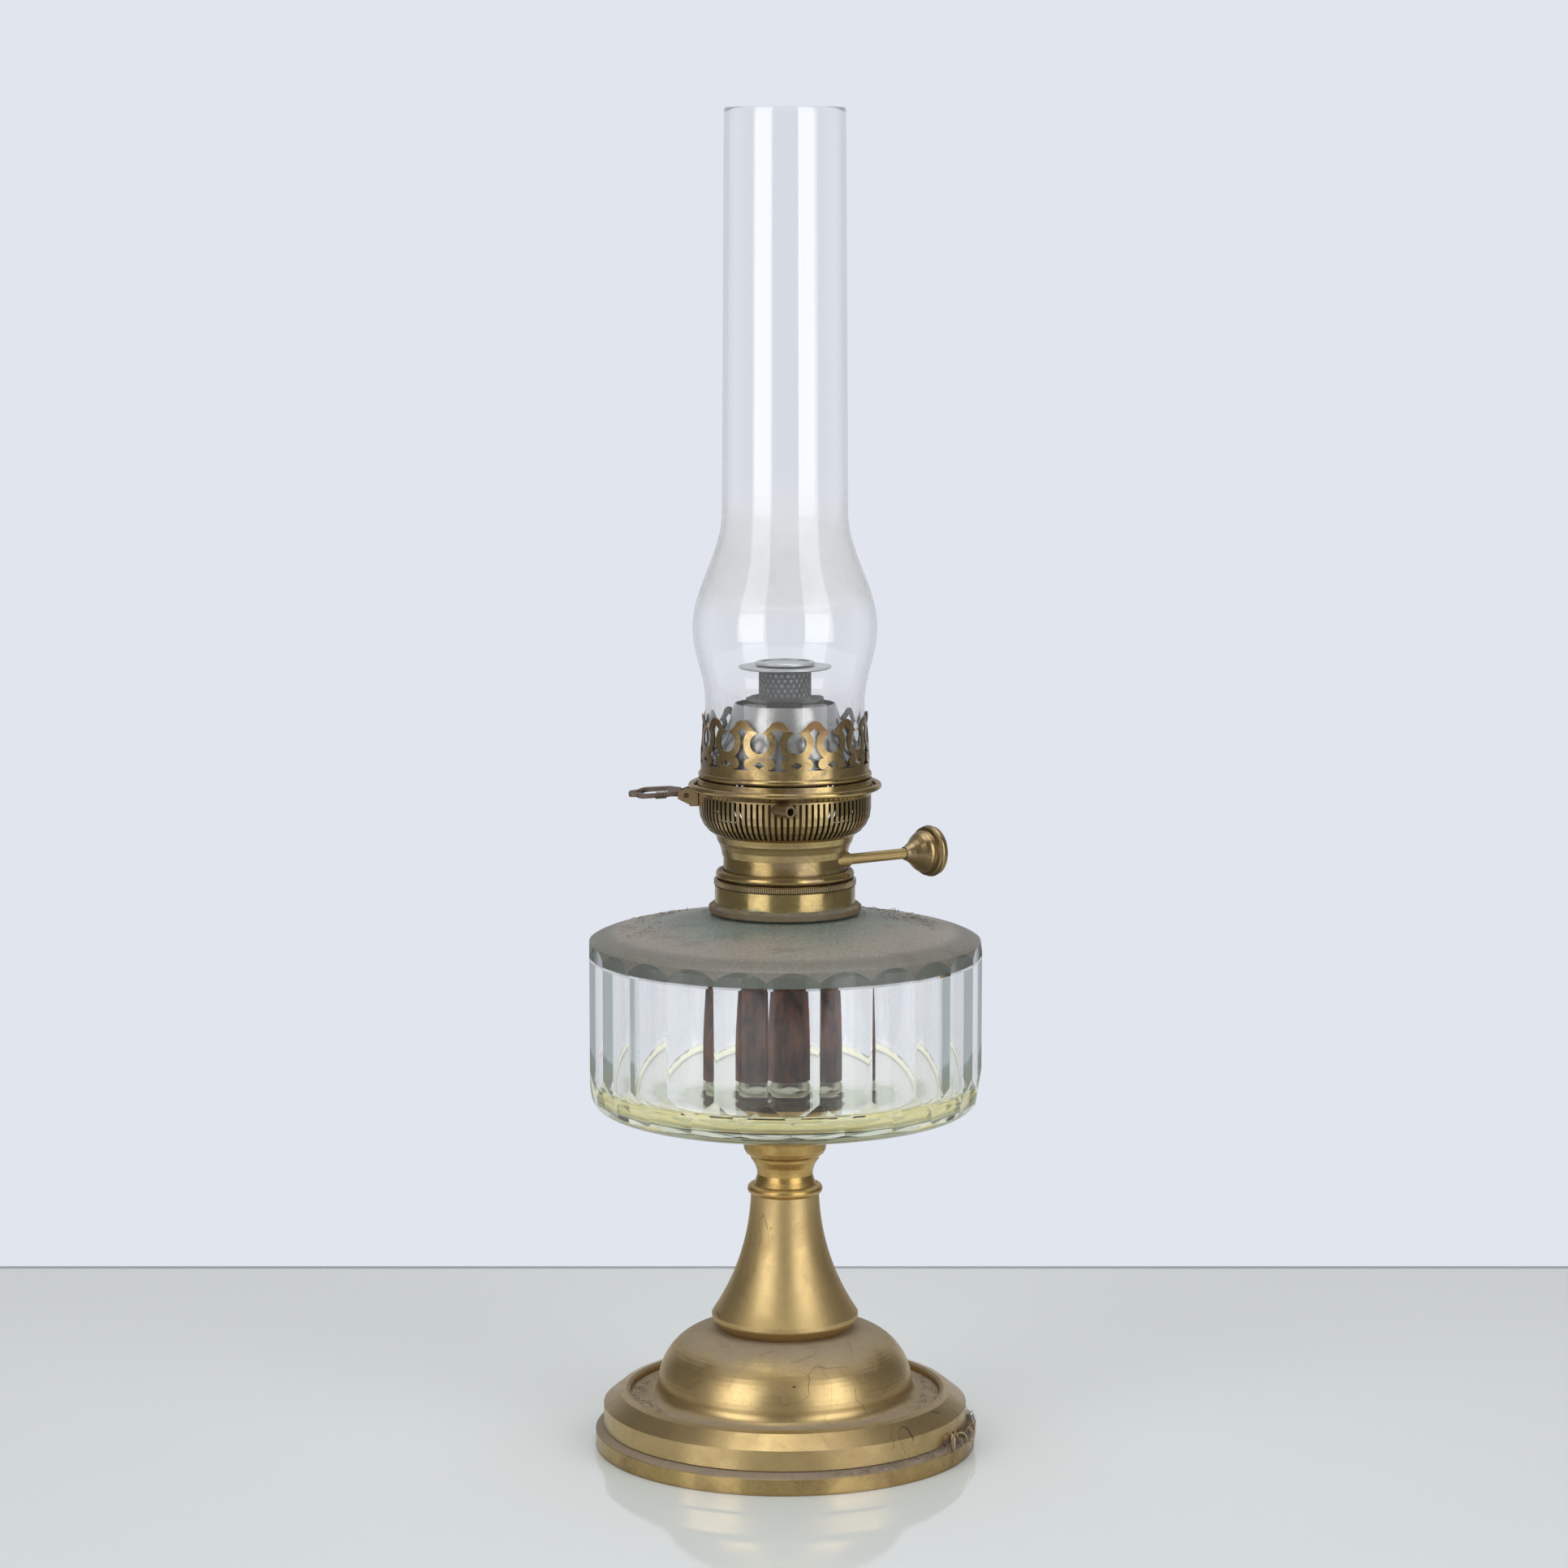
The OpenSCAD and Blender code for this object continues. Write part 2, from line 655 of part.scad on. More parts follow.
module spreader_disc() {
  color("silver") translate([0, 0, z_burner + 88.2]) rotate_extrude() {
    polygon([[0, 0], [18.2, 0.5], [18.8, 0.9], [18.8, 1.5], [18.2, 1.6], [0, 1.3]]);
  }
}

module spreader_cap() {
  color("silver") translate([0, 0, z_burner + 89.5]) rotate_extrude() difference() {
    polygon([[0, 0], [11.7, 0.95], [12.1, 0.95], [12.1, 1.6], [11.6, 2.1], [0, 2.1]]);
    translate([-1, 1.5]) square([11, 2]);
  }
}

foot_base_ring();
foot_rim();
foot_dome();
foot_weight();
base_plate();
tie_washer();
tie_nut();
tie_rod();
stem_trumpet();
stem_bead();
neck_spool();
font_cup();
cup_cement();
rod_nut();
font_glass();
collar_cement();
font_collar();
thread_ring();
burner_band();
burner_floor();
air_basket();
basket_rim();
wick_tube();
draft_tube();
air_duct();
shaft_bush();
shaft_bearing();
basket_stud();
lever_bracket();
lever_pin();
wick_shaft();
feed_wheels();
wick_knob();
wick_crown();
wick_tails();
lift_lever();
lift_fork();
gallery_crown();
gallery_bead();
gallery_guides();
gallery_floor();
air_cone();
chimney_glass();
spreader_tube();
spreader_disc();
spreader_cap();
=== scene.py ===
import math
import random

import bpy
from mathutils import Matrix, Vector, noise


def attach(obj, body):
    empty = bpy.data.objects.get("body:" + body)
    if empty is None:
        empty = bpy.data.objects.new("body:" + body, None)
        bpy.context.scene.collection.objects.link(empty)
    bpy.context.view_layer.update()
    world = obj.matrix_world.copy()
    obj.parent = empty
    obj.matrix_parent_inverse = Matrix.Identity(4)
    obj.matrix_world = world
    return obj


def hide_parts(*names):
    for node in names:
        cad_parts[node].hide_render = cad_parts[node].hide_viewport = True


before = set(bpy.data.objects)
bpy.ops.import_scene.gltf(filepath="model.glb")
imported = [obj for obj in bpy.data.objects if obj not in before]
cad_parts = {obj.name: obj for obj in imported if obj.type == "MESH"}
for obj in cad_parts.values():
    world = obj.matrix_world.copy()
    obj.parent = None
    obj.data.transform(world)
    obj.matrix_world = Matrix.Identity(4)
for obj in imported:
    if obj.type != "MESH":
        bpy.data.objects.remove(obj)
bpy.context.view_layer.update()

MM = 0.001
TAU = 2 * math.pi

# Camera

cam_data = bpy.data.cameras.new("camera")
cam_data.sensor_width = 36.0
cam_data.lens = 96.89
cam_data.clip_start = 0.05
cam_data.clip_end = 50
cam = bpy.data.objects.new("camera", cam_data)
cam.location = (-0.0004, -1.702, 0.4977)
cam.rotation_euler = (math.radians(82.539), 0, 0)
bpy.context.scene.collection.objects.link(cam)
bpy.context.scene.camera = cam

# Heights shared with the solids

Z_FONT = 135.0
Z_BURNER = 233.6
Z_CHIMNEY = 281.8
SHAFT_AZ = math.radians(35)
BACK_GAP = SHAFT_AZ + math.pi / 2

# Node helpers


class Graph:
    """A material's node tree with short calls."""

    def __init__(self, name):
        self.mat = bpy.data.materials.new(name)
        self.mat.use_nodes = True
        self.tree = self.mat.node_tree
        self.tree.nodes.clear()
        self.out = self.tree.nodes.new("ShaderNodeOutputMaterial")
        self.coord = self.add("ShaderNodeTexCoord")

    def add(self, kind, inputs=None, **props):
        node = self.tree.nodes.new(kind)
        for key, value in props.items():
            setattr(node, key, value)
        for key, value in (inputs or {}).items():
            self.put(node.inputs[key], value)
        return node

    def put(self, socket, value):
        if isinstance(value, bpy.types.NodeSocket):
            self.tree.links.new(value, socket)
        elif isinstance(value, tuple) and len(value) == 3 and len(socket.default_value) == 4:
            socket.default_value = (*value, 1.0)
        else:
            socket.default_value = value

    def math(self, op, a, b=0.0, clamp=False):
        node = self.add("ShaderNodeMath", {0: a, 1: b}, operation=op)
        node.use_clamp = clamp
        return node.outputs[0]

    def ramp(self, value, low, high, out_low=0.0, out_high=1.0):
        node = self.add("ShaderNodeMapRange", {0: value, 1: low, 2: high, 3: out_low, 4: out_high})
        node.interpolation_type = "SMOOTHSTEP"
        return node.outputs[0]

    def mix(self, factor, a, b):
        node = self.add("ShaderNodeMix", data_type="RGBA")
        self.put(node.inputs[0], factor)
        self.put(node.inputs[6], a)
        self.put(node.inputs[7], b)
        return node.outputs[2]

    def lerp(self, factor, a, b):
        node = self.add("ShaderNodeMix", data_type="FLOAT")
        self.put(node.inputs[0], factor)
        self.put(node.inputs[2], a)
        self.put(node.inputs[3], b)
        return node.outputs[0]

    def noise(self, scale, detail=4.0, rough=0.6, stretch=(1, 1, 1), warp=0.0):
        where = self.coord.outputs["Object"]
        if stretch != (1, 1, 1):
            where = self.add("ShaderNodeMapping", {"Vector": where, "Scale": stretch}).outputs[0]
        node = self.add("ShaderNodeTexNoise", {"Vector": where, "Scale": scale, "Detail": detail,
                                               "Roughness": rough, "Distortion": warp})
        return node.outputs[0]

    def xyz(self, source=None):
        return self.add("ShaderNodeSeparateXYZ", {0: source or self.coord.outputs["Object"]}).outputs

    def facing_up(self):
        normal = self.add("ShaderNodeNewGeometry").outputs["True Normal"]
        return self.xyz(normal)[2]

    def bump(self, height, distance, strength=1.0, normal=None):
        inputs = {"Height": height, "Distance": distance, "Strength": strength}
        if normal is not None:
            inputs["Normal"] = normal
        return self.add("ShaderNodeBump", inputs).outputs[0]

    def shader(self, **inputs):
        node = self.add("ShaderNodeBsdfPrincipled")
        for key, value in inputs.items():
            self.put(node.inputs[key.replace("_", " ")], value)
        return node.outputs[0]

    def finish(self, surface):
        self.tree.links.new(surface, self.out.inputs[0])
        return self.mat


def brass(name, bright, brown, patina, rough, dust=0.0, dust_from=0.45, dust_colour=(0.25, 0.20, 0.152),
          dust_within=None, green=0.0, rings=0.25, knurl=None, crevice=0.0024, pits=0.5, hairs=0.0, caps=None,
          mauve=0.0, crust=None, shaded_inside=False):
    """Lathe-turned brass: patina in patches, painted shade in the crevices, fine turning lines, pits, dust
    where it faces up.

    dust_within is the radius inside which dust lies, hairs the strength of thin dark lines, caps the height
    over which the metal goes copper brown, crust the height over which it gets a rough brown crust, mauve
    the strength of a tarnish in wide patches, and knurl the heights and the count of a ring's ribs.
    The inside flag paints shade, near black brown, on what doesn't face away from the axis."""
    g = Graph(name)
    patches = g.noise(38, 6, 0.62, warp=0.4)
    fine = g.noise(420, 4, 0.7)
    specks = g.noise(1500, 2, 0.6)
    worn = g.math("MULTIPLY", g.ramp(patches, 0.36, 0.72), patina)
    worn = g.math("ADD", worn, g.math("MULTIPLY", g.ramp(fine, 0.5, 0.8), 0.35 * patina), clamp=True)
    # Painted shade: crevices found by ambient occlusion take the dark brown patina colour, rougher and less
    # metallic.
    occlusion = g.add("ShaderNodeAmbientOcclusion", {"Distance": crevice}, samples=6)
    hollow = g.ramp(occlusion.outputs["AO"], 0.92, 0.35)
    worn = g.math("MAXIMUM", worn, g.math("MULTIPLY", hollow, 0.85))
    pit = g.math("MULTIPLY", g.ramp(specks, 0.66, 0.74), pits)
    colour = g.mix(worn, bright, brown)
    colour = g.mix(pit, colour, (0.05, 0.033, 0.02))
    x, y, z = g.xyz()
    radius = g.math("SQRT", g.math("ADD", g.math("MULTIPLY", x, x), g.math("MULTIPLY", y, y)))
    if hairs:
        line = g.math("ABSOLUTE", g.math("SUBTRACT", g.noise(46, 2, 0.5, warp=0.8), 0.5))
        here = g.ramp(g.noise(24, 2), 0.52, 0.60)
        line = g.math("MULTIPLY", g.math("MULTIPLY", g.ramp(line, 0.0032, 0.0012), here), hairs)
        colour = g.mix(line, colour, (0.07, 0.045, 0.03))
    if caps:
        burnt = g.math("MULTIPLY", g.ramp(g.math("ADD", z, g.math("MULTIPLY", patches, 0.006)), *caps), 0.8)
        colour = g.mix(burnt, colour, (0.27, 0.15, 0.07))
    roughness = g.lerp(worn, rough, min(0.9, rough + 0.22))
    roughness = g.math("ADD", roughness, g.math("MULTIPLY", g.math("SUBTRACT", fine, 0.5), 0.16))
    metal = g.math("SUBTRACT", 1.0, g.math("MULTIPLY", worn, 0.25))
    if mauve:
        bloom = g.math("MULTIPLY", g.ramp(g.noise(52, 4, 0.6, warp=0.5), 0.50, 0.66), mauve)
        colour = g.mix(bloom, colour, (0.26, 0.19, 0.175))
        roughness = g.lerp(bloom, roughness, 0.5)
        metal = g.math("MULTIPLY", metal, g.math("SUBTRACT", 1.0, g.math("MULTIPLY", bloom, 0.6)))
    if crust:
        rough_edge = g.math("ADD", z, g.math("MULTIPLY", g.math("SUBTRACT", g.noise(160, 4), 0.5), 0.004))
        crusted = g.math("MULTIPLY", g.ramp(rough_edge, *crust), 0.85)
        colour = g.mix(crusted, colour, g.mix(fine, (0.050, 0.035, 0.026), (0.21, 0.16, 0.115)))
        roughness = g.lerp(crusted, roughness, 0.7)
        metal = g.math("MULTIPLY", metal, g.math("SUBTRACT", 1.0, crusted))
    if shaded_inside:
        # Painted shade: faces that look at the axis go near black brown, rougher and less metallic.
        nx, ny, nz = g.xyz(g.add("ShaderNodeNewGeometry").outputs["True Normal"])
        outward = g.math("ADD", g.math("MULTIPLY", x, nx), g.math("MULTIPLY", y, ny))
        outward = g.math("DIVIDE", outward, radius)
        inner = g.ramp(outward, 0.55, 0.30)
        inner = g.math("MULTIPLY", inner, g.ramp(g.math("ABSOLUTE", nz), 0.9, 0.7))
        colour = g.mix(inner, colour, (0.030, 0.020, 0.012))
        metal = g.math("MULTIPLY", metal, g.math("SUBTRACT", 1.0, g.math("MULTIPLY", inner, 0.8)))
        roughness = g.lerp(inner, roughness, 0.6)
    if green:
        tarnish = g.math("MULTIPLY", g.ramp(g.noise(90, 5, 0.7), 0.5, 0.68), green)
        tarnish = g.math("MULTIPLY", tarnish, g.ramp(occlusion.outputs["AO"], 1.0, 0.6))
        colour = g.mix(tarnish, colour, (0.16, 0.23, 0.17))
        metal = g.math("MULTIPLY", metal, g.math("SUBTRACT", 1.0, tarnish))
    if dust:
        up = g.facing_up()
        edge = g.math("ADD", up, g.math("MULTIPLY", g.math("SUBTRACT", g.noise(55, 5, 0.65), 0.5), 0.5))
        film = g.math("MULTIPLY", g.ramp(edge, dust_from, dust_from + 0.42), dust)
        if dust_within:
            film = g.math("MULTIPLY", film, g.ramp(radius, dust_within + 0.0012, dust_within, 0.10, 1.0))
        grains = g.ramp(g.noise(2600, 2, 0.5), 0.35, 0.7, 0.75, 1.0)
        film = g.math("MULTIPLY", film, grains)
        shade = g.mix(g.noise(300, 3), dust_colour, tuple(c * 1.35 for c in dust_colour))
        colour = g.mix(film, colour, shade)
        roughness = g.lerp(film, roughness, 0.85)
        metal = g.math("MULTIPLY", metal, g.math("SUBTRACT", 1.0, film))
    height = g.math("MULTIPLY", g.noise(1.0, 3, 0.8, stretch=(30, 30, 5200)), rings)
    height = g.math("ADD", height, g.math("MULTIPLY", specks, 0.35))
    height = g.math("ADD", height, g.math("MULTIPLY", fine, 0.5))
    normal = g.bump(height, 0.00006, 0.55)
    if knurl:
        low, high, count = knurl
        angle = g.math("ARCTAN2", y, x)
        ribs = g.math("SINE", g.math("MULTIPLY", angle, count))
        band = g.math("MULTIPLY", g.ramp(z, low, low + 0.0002), g.ramp(z, high, high - 0.0002))
        ribs = g.math("MULTIPLY", g.math("MULTIPLY", g.math("ADD", ribs, 1.0), 0.5), band)
        # Painted shade: the grooves between the knurl's ribs are darkened.
        colour = g.mix(g.math("MULTIPLY", g.math("SUBTRACT", band, ribs), 0.75), colour, (0.10, 0.07, 0.04))
        normal = g.bump(ribs, 0.00035, 1.0, normal)
    return g.finish(g.shader(Base_Color=colour, Metallic=metal, Roughness=roughness, Normal=normal))


def steel(name, tone, dark, rough, patina=0.5, rust=0.0, scale=60, inside=None):
    """Dull steel; inside is a colour painted on the faces that look at the lamp's axis, to stand in for light
    there.
    """
    g = Graph(name)
    patches = g.noise(scale, 6, 0.65, warp=0.3)
    fine = g.noise(900, 3, 0.7)
    worn = g.math("MULTIPLY", g.ramp(patches, 0.38, 0.7), patina)
    colour = g.mix(worn, tone, dark)
    metal = g.math("SUBTRACT", 1.0, g.math("MULTIPLY", worn, 0.5))
    if rust:
        spots = g.math("MULTIPLY", g.ramp(g.noise(240, 5, 0.75), 0.48, 0.66), rust)
        colour = g.mix(spots, colour, (0.16, 0.075, 0.035))
        metal = g.math("MULTIPLY", metal, g.math("SUBTRACT", 1.0, spots))
    roughness = g.lerp(worn, rough, min(0.95, rough + 0.3))
    # Painted light: faces that look at the axis get the inside colour, as if lit.
    if inside:
        x, y, z = g.xyz()
        nx, ny, nz = g.xyz(g.add("ShaderNodeNewGeometry").outputs["True Normal"])
        outward = g.math("ADD", g.math("MULTIPLY", x, nx), g.math("MULTIPLY", y, ny))
        inner = g.math("LESS_THAN", outward, -0.001)
        colour = g.mix(inner, colour, inside)
        metal = g.math("MULTIPLY", metal, g.math("SUBTRACT", 1.0, inner))
    normal = g.bump(g.math("ADD", fine, patches), 0.00008, 0.5)
    return g.finish(g.shader(Base_Color=colour, Metallic=metal, Roughness=roughness, Normal=normal))


def plain_rough(name, tone, dark, rough=0.9, scale=300, depth=0.0003):
    g = Graph(name)
    grain = g.noise(scale, 6, 0.7)
    colour = g.mix(g.ramp(grain, 0.3, 0.7), dark, tone)
    return g.finish(g.shader(Base_Color=colour, Roughness=rough, Normal=g.bump(grain, depth, 0.7)))


def through_for_shadow(g, glass, amount=0.9):
    """Lets the lamps light what is behind the glass, and lets light out that is caught inside it."""
    path = g.add("ShaderNodeLightPath")
    caught = g.math("GREATER_THAN", path.outputs["Glossy Depth"], 1.5)
    fade = g.mix(caught, (0.93, 0.95, 0.94), (0.80, 0.82, 0.80))
    clear = g.add("ShaderNodeBsdfTransparent", {"Color": fade})
    shadow = g.math("MULTIPLY", path.outputs["Is Shadow Ray"], amount)
    mix = g.add("ShaderNodeMixShader", {0: g.math("MAXIMUM", shadow, caught)})
    g.tree.links.new(glass, mix.inputs[1])
    g.tree.links.new(clear.outputs[0], mix.inputs[2])
    return mix.outputs[0]


def hollow_cuts(g, place, depth):
    """Height of a row of hollow-ground cuts with rounded ridges; place counts the cuts round the font."""
    across = g.math("ABSOLUTE", g.math("SUBTRACT", g.math("FRACT", place), 0.5))
    across = g.math("MULTIPLY", across, 2.0)
    ridge = g.math("MAXIMUM", g.math("SUBTRACT", across, 0.92), 0.0)
    ridge = g.math("MULTIPLY", g.math("MULTIPLY", ridge, ridge), 12.5)
    return g.math("MULTIPLY", g.math("SUBTRACT", g.math("MULTIPLY", across, across), ridge), depth)


def font_glass_material():
    """Clear glass, dusty and tarnished green on the shoulder, with painted shade towards the shoulder's edge
    and under the dust, and specks and a few runs on the sides.

    The cuts are flat in the solid; here they bend the light as hollow-ground cuts do."""
    g = Graph("font_glass_mat")
    x, y, z = g.xyz()
    radius = g.math("SQRT", g.math("ADD", g.math("MULTIPLY", x, x), g.math("MULTIPLY", y, y)))
    up = g.facing_up()
    place = g.math("ADD", g.math("DIVIDE", g.math("ARCTAN2", y, x), TAU / 24), (90 - 9.8) / 15)
    outside = g.math("GREATER_THAN", radius, 0.0770)
    upright = g.math("MULTIPLY", outside, g.math("LESS_THAN", g.math("ABSOLUTE", up), 0.05))
    slanted = g.math("MULTIPLY", g.math("LESS_THAN", up, -0.10), g.math("GREATER_THAN", up, -0.22))
    slanted = g.math("MULTIPLY", slanted, g.math("GREATER_THAN", radius, 0.0765))
    normal = g.bump(hollow_cuts(g, place, 0.00145), 1.0, upright)
    normal = g.bump(hollow_cuts(g, g.math("ADD", place, 0.5), 0.0010), 1.0, slanted, normal)
    wide = g.noise(22, 4, 0.55, warp=0.9)
    cloud = g.noise(60, 5, 0.6, warp=0.5)
    fine = g.noise(800, 4, 0.7)
    top = g.math("MULTIPLY", g.ramp(z, 0.2036, 0.2042), g.ramp(up, 0.02, 0.07))
    body = g.ramp(g.math("ADD", fine, cloud), 0.62, 1.15, 0.84, 0.985)
    film = g.math("MULTIPLY", top, body)
    specks = g.math("MULTIPLY", g.ramp(g.noise(1900, 2, 0.5), 0.70, 0.76), 0.55)
    stain = g.math("MULTIPLY", g.ramp(g.noise(30, 4, 0.6, stretch=(1, 1, 0.12)), 0.66, 0.8), 0.10)
    sides = g.math("MULTIPLY", g.math("MAXIMUM", specks, stain), g.ramp(z, 0.140, 0.19))
    film = g.math("MAXIMUM", film, sides)
    near = g.ramp(radius, 0.064, 0.034)
    greener = g.math("ADD", near, g.math("MULTIPLY", g.math("SUBTRACT", wide, 0.5), 2.2), clamp=True)
    taupe = g.mix(g.ramp(fine, 0.35, 0.7), (0.31, 0.28, 0.235), (0.40, 0.365, 0.315))
    green = g.mix(g.ramp(fine, 0.35, 0.7), (0.215, 0.26, 0.225), (0.29, 0.345, 0.305))
    colour = g.mix(greener, taupe, green)
    colour = g.mix(g.math("MULTIPLY", g.ramp(cloud, 0.52, 0.70), 0.45), colour, (0.17, 0.15, 0.125))
    # Painted shade: the dust darkens towards the shoulder's rounded edge, standing in for the dark seen
    # through the glass there.
    edge_shade = g.ramp(radius, 0.0675, 0.0740, 0.0, 0.55)
    colour = g.mix(edge_shade, colour, (0.125, 0.13, 0.11))
    crust = g.math("MULTIPLY", g.ramp(radius, 0.0350, 0.0318), g.ramp(g.noise(500, 4, 0.7), 0.5, 0.62))
    colour = g.mix(g.math("MULTIPLY", crust, 0.7), colour, (0.42, 0.40, 0.30))
    relief = g.math("ADD", g.math("MULTIPLY", cloud, 2.0), g.math("ADD", fine, g.noise(2600, 2)))
    # Painted shade: the dust seen from under it, through the glass, is near black.
    underside_shade = g.add("ShaderNodeNewGeometry").outputs["Backfacing"]
    colour = g.mix(underside_shade, colour, (0.060, 0.066, 0.052))
    dust = g.shader(Base_Color=colour, Roughness=0.52, Normal=g.bump(relief, 0.00010, 0.4))
    height = g.math("ADD", g.noise(30, 2, 0.4), g.math("MULTIPLY", fine, 0.02))
    soaked = g.math("MULTIPLY", g.ramp(z, 0.1530, 0.1465), g.ramp(radius, 0.0640, 0.0700))
    soaked = g.math("MAXIMUM", soaked, slanted)
    amber = g.mix(slanted, (0.93, 0.87, 0.66), (0.955, 0.915, 0.69))
    tint = g.mix(soaked, (0.98, 0.982, 0.972), amber)
    glass = g.shader(Base_Color=tint, Roughness=0.0, IOR=1.5,
                     Transmission_Weight=1.0, Normal=g.bump(height, 0.0012, 0.2, normal))
    mix = g.add("ShaderNodeMixShader", {0: film})
    g.tree.links.new(through_for_shadow(g, glass), mix.inputs[1])
    g.tree.links.new(dust, mix.inputs[2])
    return g.finish(mix.outputs[0])


def chimney_material():
    """Thin clear glass with a warm bloom of soot over the bulge and a few specks."""
    g = Graph("chimney_mat")
    x, y, z = g.xyz()
    fine = g.noise(1500, 3, 0.6)
    low_edge = g.math("ADD", z, g.math("MULTIPLY", g.noise(20, 3), 0.012))
    bloom = g.math("MULTIPLY", g.ramp(low_edge, 0.344, 0.362), g.ramp(z, 0.402, 0.366))
    haze = g.math("MULTIPLY", bloom, g.ramp(g.noise(30, 4), 0.2, 0.7, 0.10, 0.20))
    base_film = g.math("MULTIPLY", g.ramp(z, 0.335, 0.305), 0.05)
    specks = g.math("MULTIPLY", g.ramp(fine, 0.74, 0.8), 0.25)
    film = g.math("MAXIMUM", g.math("MAXIMUM", haze, specks), base_film)
    height = g.noise(14, 1, 0.3, stretch=(1, 1, 0.25))
    glass = g.shader(Base_Color=(0.99, 0.992, 0.988), Roughness=0.0, IOR=1.46,
                     Transmission_Weight=1.0, Normal=g.bump(height, 0.0004, 0.1))
    soot = g.shader(Base_Color=(0.60, 0.575, 0.545), Roughness=0.6)
    mix = g.add("ShaderNodeMixShader", {0: film})
    g.tree.links.new(through_for_shadow(g, glass, 0.95), mix.inputs[1])
    g.tree.links.new(soot, mix.inputs[2])
    return g.finish(mix.outputs[0])


def kerosene_material():
    """Thin yellow liquid: its colour comes from the depth that the light crosses."""
    g = Graph("kerosene_mat")
    liquid = g.shader(Base_Color=(0.99, 0.985, 0.93), Roughness=0.0, IOR=1.44, Transmission_Weight=1.0,
                      Normal=g.bump(g.noise(120, 2), 0.0002, 0.1))
    depth = g.add("ShaderNodeVolumeAbsorption", {"Color": (0.975, 0.91, 0.50), "Density": 8.5})
    g.tree.links.new(depth.outputs[0], g.out.inputs["Volume"])
    return g.finish(through_for_shadow(g, liquid, 0.8))


def wick_material():
    """Woven cotton soaked brown, with a painted sheen in wide patches, painted shade in the weave, pale
    fibres, charred black at the top.
    """
    g = Graph("wick_mat")
    x, y, z = g.xyz()
    angle = g.math("ARCTAN2", y, x)
    rows = g.math("SINE", g.math("MULTIPLY", z, TAU / 0.0011))
    columns = g.math("SINE", g.math("MULTIPLY", angle, 96))
    weave = g.math("MULTIPLY", rows, columns)
    fuzz = g.noise(1800, 3, 0.7)
    blotch = g.noise(70, 5, 0.65, warp=0.5)
    colour = g.mix(g.ramp(blotch, 0.36, 0.64), (0.018, 0.008, 0.006), (0.120, 0.040, 0.022))
    # Painted sheen: wide patches of the cloth are a lighter mauve brown, standing in for the oily sheen.
    pale = g.math("MULTIPLY", g.ramp(g.noise(34, 4, 0.6, warp=0.4), 0.50, 0.68), 0.55)
    colour = g.mix(pale, colour, (0.120, 0.072, 0.060))
    colour = g.mix(g.math("MULTIPLY", g.ramp(fuzz, 0.58, 0.78), 0.5), colour, (0.30, 0.20, 0.15))
    # Painted shade: the sunken parts of the weave are darkened.
    colour = g.mix(g.ramp(weave, 0.1, -0.8, 0.0, 0.6), colour, (0.022, 0.014, 0.011))
    char = g.ramp(g.math("ADD", z, g.math("MULTIPLY", g.math("SUBTRACT", blotch, 0.5), 0.01)), 0.296, 0.304)
    ash = g.mix(g.ramp(fuzz, 0.5, 0.75), (0.010, 0.010, 0.011), (0.036, 0.037, 0.042))
    colour = g.mix(char, colour, ash)
    height = g.math("ADD", g.math("MULTIPLY", weave, 0.5), fuzz)
    return g.finish(g.shader(Base_Color=colour, Roughness=0.62, Specular_IOR_Level=0.2,
                             Normal=g.bump(height, 0.0005, 0.9)))


# Mesh helpers


def mesh_object(name, verts, faces, material, body, smooth=True, sharp=None):
    mesh = bpy.data.meshes.new(name)
    mesh.from_pydata(verts, [], faces)
    mesh.validate()
    mesh.materials.append(material)
    mesh.update()
    if smooth:
        mesh.shade_smooth()
    if sharp is not None:
        mesh.set_sharp_from_angle(angle=math.radians(sharp))
    obj = bpy.data.objects.new(name, mesh)
    bpy.context.scene.collection.objects.link(obj)
    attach(obj, body)
    return obj


def lathe(name, section, material, body, steps=192, sharp=35, wobble=None):
    """Revolves a closed section of (r, z) millimetre pairs; points on the axis close the form."""
    verts, faces, rings = [], [], []
    for r, z in section:
        if r < 1e-6:
            rings.append([len(verts)])
            verts.append((0, 0, z * MM))
            continue
        ring = []
        for i in range(steps):
            a = TAU * i / steps
            rr = r + (wobble(a, r, z) if wobble else 0)
            ring.append(len(verts))
            verts.append((rr * math.cos(a) * MM, rr * math.sin(a) * MM, z * MM))
        rings.append(ring)
    for k in range(len(rings)):
        a, b = rings[k], rings[(k + 1) % len(rings)]
        if len(a) == 1 and len(b) == 1:
            continue
        for i in range(steps):
            j = (i + 1) % steps
            if len(a) == 1:
                faces.append((a[0], b[j], b[i]))
            elif len(b) == 1:
                faces.append((a[i], a[j], b[0]))
            else:
                faces.append((a[i], a[j], b[j], b[i]))
    return mesh_object(name, verts, faces, material, body, sharp=sharp)


def ease(t):
    t = max(0.0, min(1.0, t))
    return (1 - math.cos(math.pi * t)) / 2


# Materials

GOLD = (0.68, 0.50, 0.235)
GOLD_DULL = (0.54, 0.385, 0.165)
BROWN = (0.15, 0.085, 0.038)

